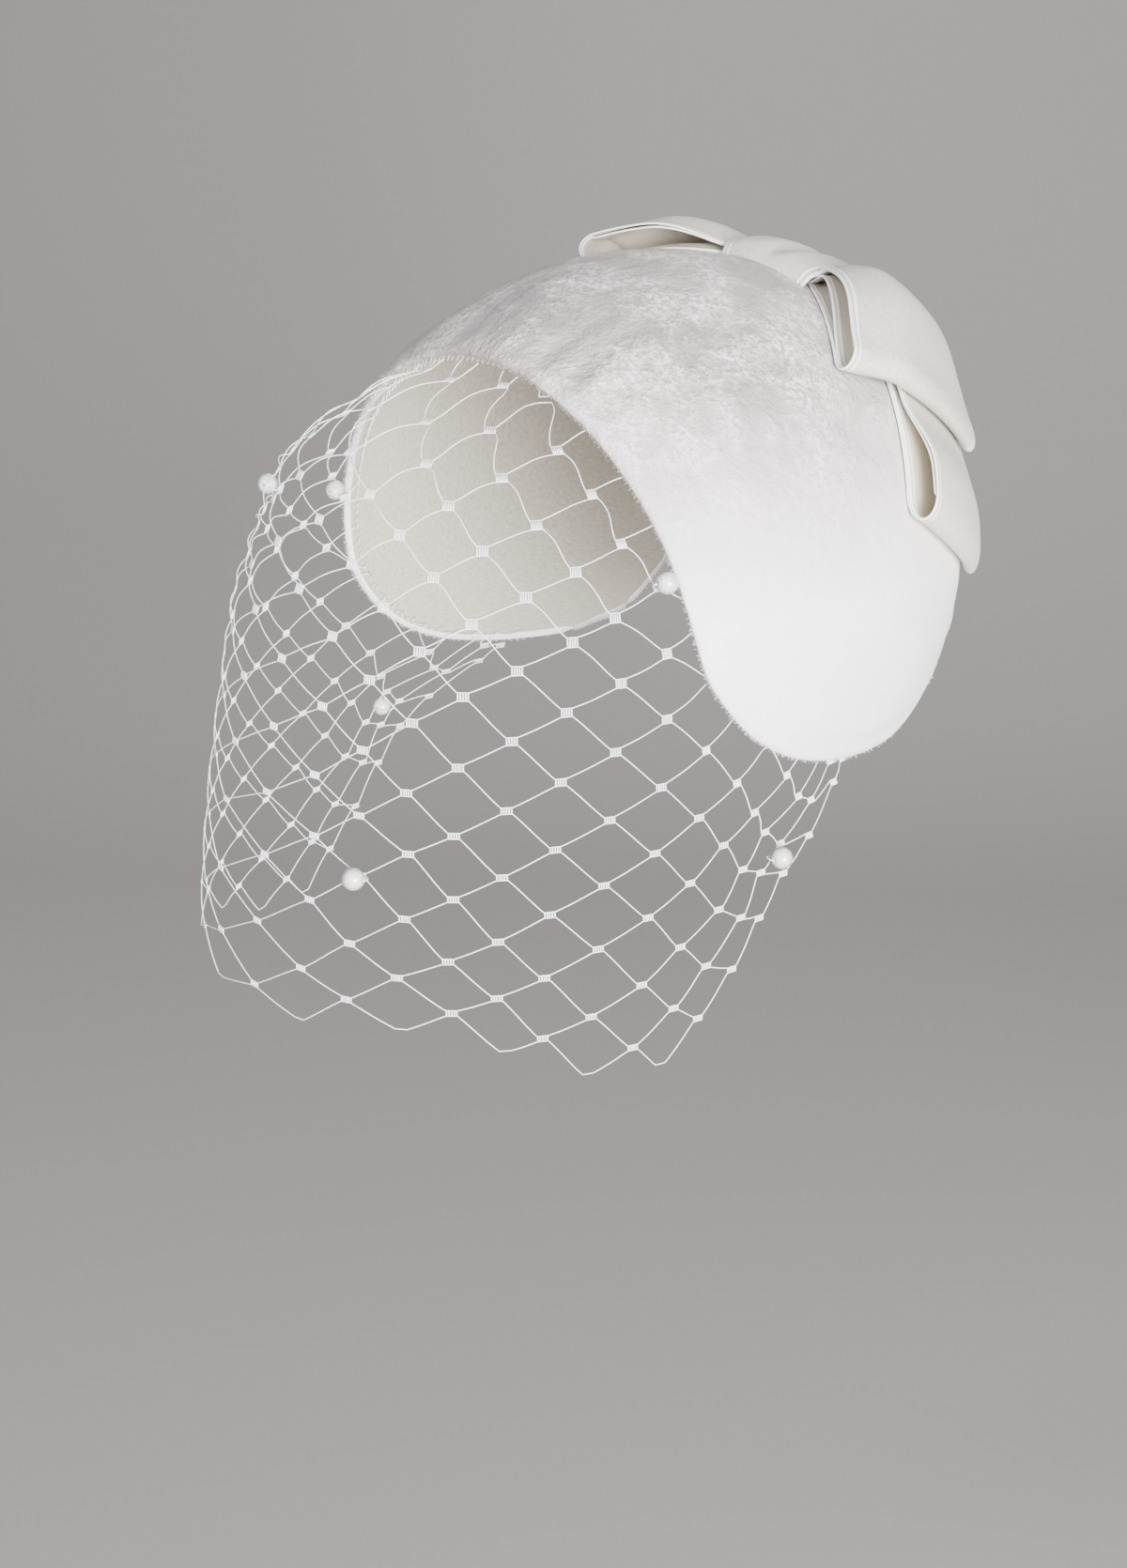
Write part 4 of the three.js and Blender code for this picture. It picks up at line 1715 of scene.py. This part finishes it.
    def build(self, material: Material) -> list[Piece]:
        """Builds the net's threads, the bars of its ladders and the stitches that hold it.

        Args:
            material: The thread.

        Returns:
            The pieces.
        """
        paths, middles, ways = self.threads()
        middles, ways = np.array(middles), np.array(ways)
        threads = lay_thread("net_threads", paths, self.thread, 6, material)
        bars = set_bars("net_ladder_bars", middles, ways, self.bar, 5, material)
        stitches = set_bars("veil_stitches", *self.stitch_places(), self.stitch, 6, material)
        hand_in(threads, "veil_net")
        hand_in(bars)
        hand_in(stitches)
        return [threads, bars, stitches]

    def stitch_places(self) -> tuple[Array, Array]:
        """Places of the stitches that sew the veil's top edge to the crown's inside.

        Returns:
            The middle of each stitch, and its direction, as long as the stitch.
        """
        crown, count = self.form.crown, self.stitches
        at = np.linspace(-0.95, 0.95, count)
        side = crown.rim.read("front_side", np.abs(at)) * np.sign(at)
        along = crown.rim.read("front_along", np.abs(at))
        slant = self.stitch_slant * (-1) ** np.arange(count)
        low = crown.over(side, along + 0.1, -self.form.stitched_depth - 0.25)
        high = crown.over(side + slant, along + 2.6, -crown.wall + 0.15)
        return (low + high) / 2, high - low


@dataclass
class Pearls:
    """Pearls sewn to the net, each with a drilled hole and its thread."""

    names: tuple[str, ...] = (
        "pearl_cheek", "pearl_temple", "pearl_jaw", "pearl_brow",
        "pearl_temple_far", "pearl_jaw_far",
    )
    diameter: float = 5.6
    hole: float = 0.45
    around: int = 32
    rings: int = 20
    thread: float = 0.2
    thread_sides: int = 6

    def build(
        self, form: VeilForm, lustre: Material, thread: Material
    ) -> list[Piece]:
        """Builds all pearls in place of their solids."""
        return [self.bead(name, form, lustre, thread) for name in self.names]

    def bead(
        self, name: str, form: VeilForm, lustre: Material, thread: Material
    ) -> Piece:
        """Builds one pearl, its hole level along the net and a thread through it.

        Args:
            name: CAD node of the pearl.
            form: Form of the veil.
            lustre: Material of the pearl.
            thread: Material of its thread.

        Returns:
            The piece.
        """
        low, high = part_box(name)
        centre = np.array((low + high) / 2) / MM
        turn, _ = form.turn_and_size(centre[:1], centre[1:2])
        level, rising, out = (d[0] for d in form.frames(turn, centre[2:]))
        radius = self.diameter / 2
        start = math.asin(self.hole / radius)
        # The surface turns in at both ends and runs through the bead
        deep, narrow = radius * 0.55, self.hole * 0.9
        tilts = np.linspace(start, math.pi - start, self.rings + 1)
        ball = [(math.cos(a) * radius, math.sin(a) * radius) for a in tilts]
        profile = [(deep, narrow), *ball, (-deep, narrow)]
        points, faces = self.tube(
            [centre + level * x for x, _ in profile],
            [(rising * r, out * r) for _, r in profile], self.around, 0,
        )
        numbers = [0] * len(faces)
        for way in (-1, 1):
            path = [
                centre + level * way * along - out * under
                for along, under in (
                    (radius * 0.5, 0), (radius + 0.15, 0), (radius + 0.3, 1.4),
                    (radius - 0.5, radius + 0.45), (0.4, radius + 0.75),
                )
            ]
            axes = []
            for before, after in zip([path[0]] + path[:-1], path[1:] + [path[-1]]):
                run = unit(after - before)
                across = unit(np.cross(run, rising))
                axes.append((across * self.thread, np.cross(across, run) * self.thread))
            more = self.tube(path, axes, self.thread_sides, len(points))
            points, faces = points + more[0], faces + more[1]
            numbers += [1] * len(more[1])
        piece = mesh_piece(f"{name}_bead", np.array(points), faces)
        piece.data.materials.append(lustre)
        piece.data.materials.append(thread)
        piece.data.polygons.foreach_set("material_index", np.array(numbers, np.int32))
        hand_in(piece, name)
        return piece

    @staticmethod
    def tube(
        middles: list[Array], axes: list[tuple[Array, Array]], sides: int, first: int
    ) -> tuple[list[Array], list[list[int]]]:
        """Makes a closed tube of rings.

        Args:
            middles: Middle of each ring.
            axes: Two axes of each ring, as long as its radius.
            sides: Points of each ring.
            first: Number of its first point.

        Returns:
            Its points and its faces.
        """
        points = [
            middle + a * math.cos(math.tau * k / sides) + b * math.sin(math.tau * k / sides)
            for middle, (a, b) in zip(middles, axes) for k in range(sides)
        ]
        faces = []
        for i in range(len(middles) - 1):
            a, b = first + i * sides, first + (i + 1) * sides
            for k in range(sides):
                n = (k + 1) % sides
                faces.append([a + k, a + n, b + n, b + k])
        last = first + (len(middles) - 1) * sides
        faces.append(list(range(first, first + sides))[::-1])
        faces.append(list(range(last, last + sides)))
        return points, faces


@dataclass(frozen=True)
class Light:
    """One soft square light that points at the hat."""

    name: str
    place: tuple[float, float, float]
    size: float
    power: float
    colour: tuple[float, float, float]


@dataclass
class Studio:
    """Floor that sweeps up behind the hat, soft lights and the camera."""

    floor: float = -420
    back: float = 1500
    sweep: float = 900
    sweep_steps: int = 24
    front: float = -7000
    tall: float = 5000
    wide: float = 14000
    azimuth: float = 46
    pitch: float = 19.8
    roll: float = 1.15
    yaw: float = -0.8
    distance: float = 600
    offset: tuple[float, float, float] = (0, -0.63, 73.54)
    focal_pixels: float = 2400
    photo_height: float = 1670
    sensor: float = 36
    middle: tuple[float, float, float] = (0, 0, -80)
    lights: tuple[Light, ...] = (
        Light("key_light", (1250, -520, 40), 700, 86, (1, 0.99, 0.97)),
        Light("front_light", (500, -1900, 750), 1000, 28, (1, 1, 1)),
        Light("top_light", (-500, -600, 1100), 260, 4.5, (0.97, 0.98, 1)),
        Light("back_light", (-850, 1050, 950), 800, 11, (0.98, 0.99, 1)),
    )
    air: Colour = (0.93, 0.95, 1, 1)
    air_strength: float = 0.16

    def camera(self) -> None:
        """Sets up the camera at the photograph's viewing angle."""
        azimuth, pitch, roll, yaw = (
            math.radians(a) for a in (self.azimuth, self.pitch, self.roll, self.yaw)
        )
        away = np.array([math.sin(azimuth), -math.cos(azimuth), 0])
        place = away * self.distance + np.array(self.offset)
        c, s = math.cos(yaw), math.sin(yaw)
        level = np.array([[c, s, 0], [-s, c, 0], [0, 0, 1]]) @ -away
        forward = level * math.cos(pitch) - np.array([0, 0, math.sin(pitch)])
        right = unit(np.cross(level, [0, 0, 1.0]))
        up = np.cross(right, forward)
        c, s = math.cos(roll), math.sin(roll)
        data = bpy.data.cameras.new("camera")
        data.sensor_width = self.sensor
        data.lens = self.focal_pixels / self.photo_height * self.sensor
        data.clip_start = 0.05
        axes = (right * c + up * s, up * c - right * s, -forward)
        bpy.context.scene.camera = stand("camera", data, place, axes)

    def paper(self, material: Material) -> None:
        """Builds the floor and backdrop as one sweep, square to the view.

        Args:
            material: The paper.
        """
        azimuth = math.radians(self.azimuth)
        behind = np.array([-math.sin(azimuth), math.cos(azimuth), 0])
        across = np.array([math.cos(azimuth), math.sin(azimuth), 0])
        profile = [(self.front, 0.0), (self.back - self.sweep, 0.0)]
        for k in range(1, self.sweep_steps + 1):
            a = math.pi / 2 * k / self.sweep_steps
            rise = self.sweep * (1 - math.cos(a))
            profile.append((self.back - self.sweep * (1 - math.sin(a)), rise))
        profile.append((self.back, self.tall))
        points = [
            behind * y + across * x + np.array([0, 0, self.floor + z])
            for y, z in profile
            for x in (-self.wide / 2, self.wide / 2)
        ]
        faces = [[2 * k, 2 * k + 1, 2 * k + 3, 2 * k + 2] for k in range(len(profile) - 1)]
        piece = mesh_piece("studio_sweep", np.array(points), faces)
        piece.data.materials.append(material)

    def light(self, light: Light) -> None:
        """Adds one soft light.

        Args:
            light: What it is and where it stands.
        """
        data = bpy.data.lights.new(light.name, "AREA")
        data.energy, data.color, data.size = light.power, light.colour, light.size * MM
        way = unit(np.array(light.place, float) - np.array(self.middle, float))
        side = unit(np.cross([0, 0, 1.0], way))
        stand(light.name, data, np.array(light.place, float), (side, np.cross(way, side), way))

    def build(self, paper: Material) -> None:
        """Sets up the whole studio.

        Args:
            paper: Material of the floor and backdrop.
        """
        self.camera()
        self.paper(paper)
        for light in self.lights:
            self.light(light)
        world = bpy.data.worlds.new("studio_air")
        world.use_nodes = True
        air = world.node_tree.nodes["Background"]
        air.inputs["Color"].default_value = self.air
        air.inputs["Strength"].default_value = self.air_strength
        bpy.context.scene.world = world


def main() -> None:
    """Builds the hat and the studio."""
    logging.basicConfig(level=logging.INFO, format="%(message)s")
    effects = Effects()
    velvet = VelvetFinish()
    thread, satin = ThreadFinish().make(), RibbonFinish().make(effects)
    # The loops' inside is the same ribbon painted warmer, as painted shade and warm bounce light
    # within the loops
    inside = RibbonFinish(
        "ribbon_inside_shade", face=(0.92, 0.85, 0.73, 1), thin=(0.78, 0.71, 0.59, 1)
    ).make(effects)
    crown, veil = CrownForm(), VeilForm()
    Crown(crown).build(velvet.make(effects), velvet.make_back(effects))
    Bow(crown).build(satin, inside)
    Veil(veil).build(thread)
    Pearls().build(veil, PearlFinish().make(), thread)
    Studio().build(StageFinish().make())


if __name__ == "__main__":
    main()
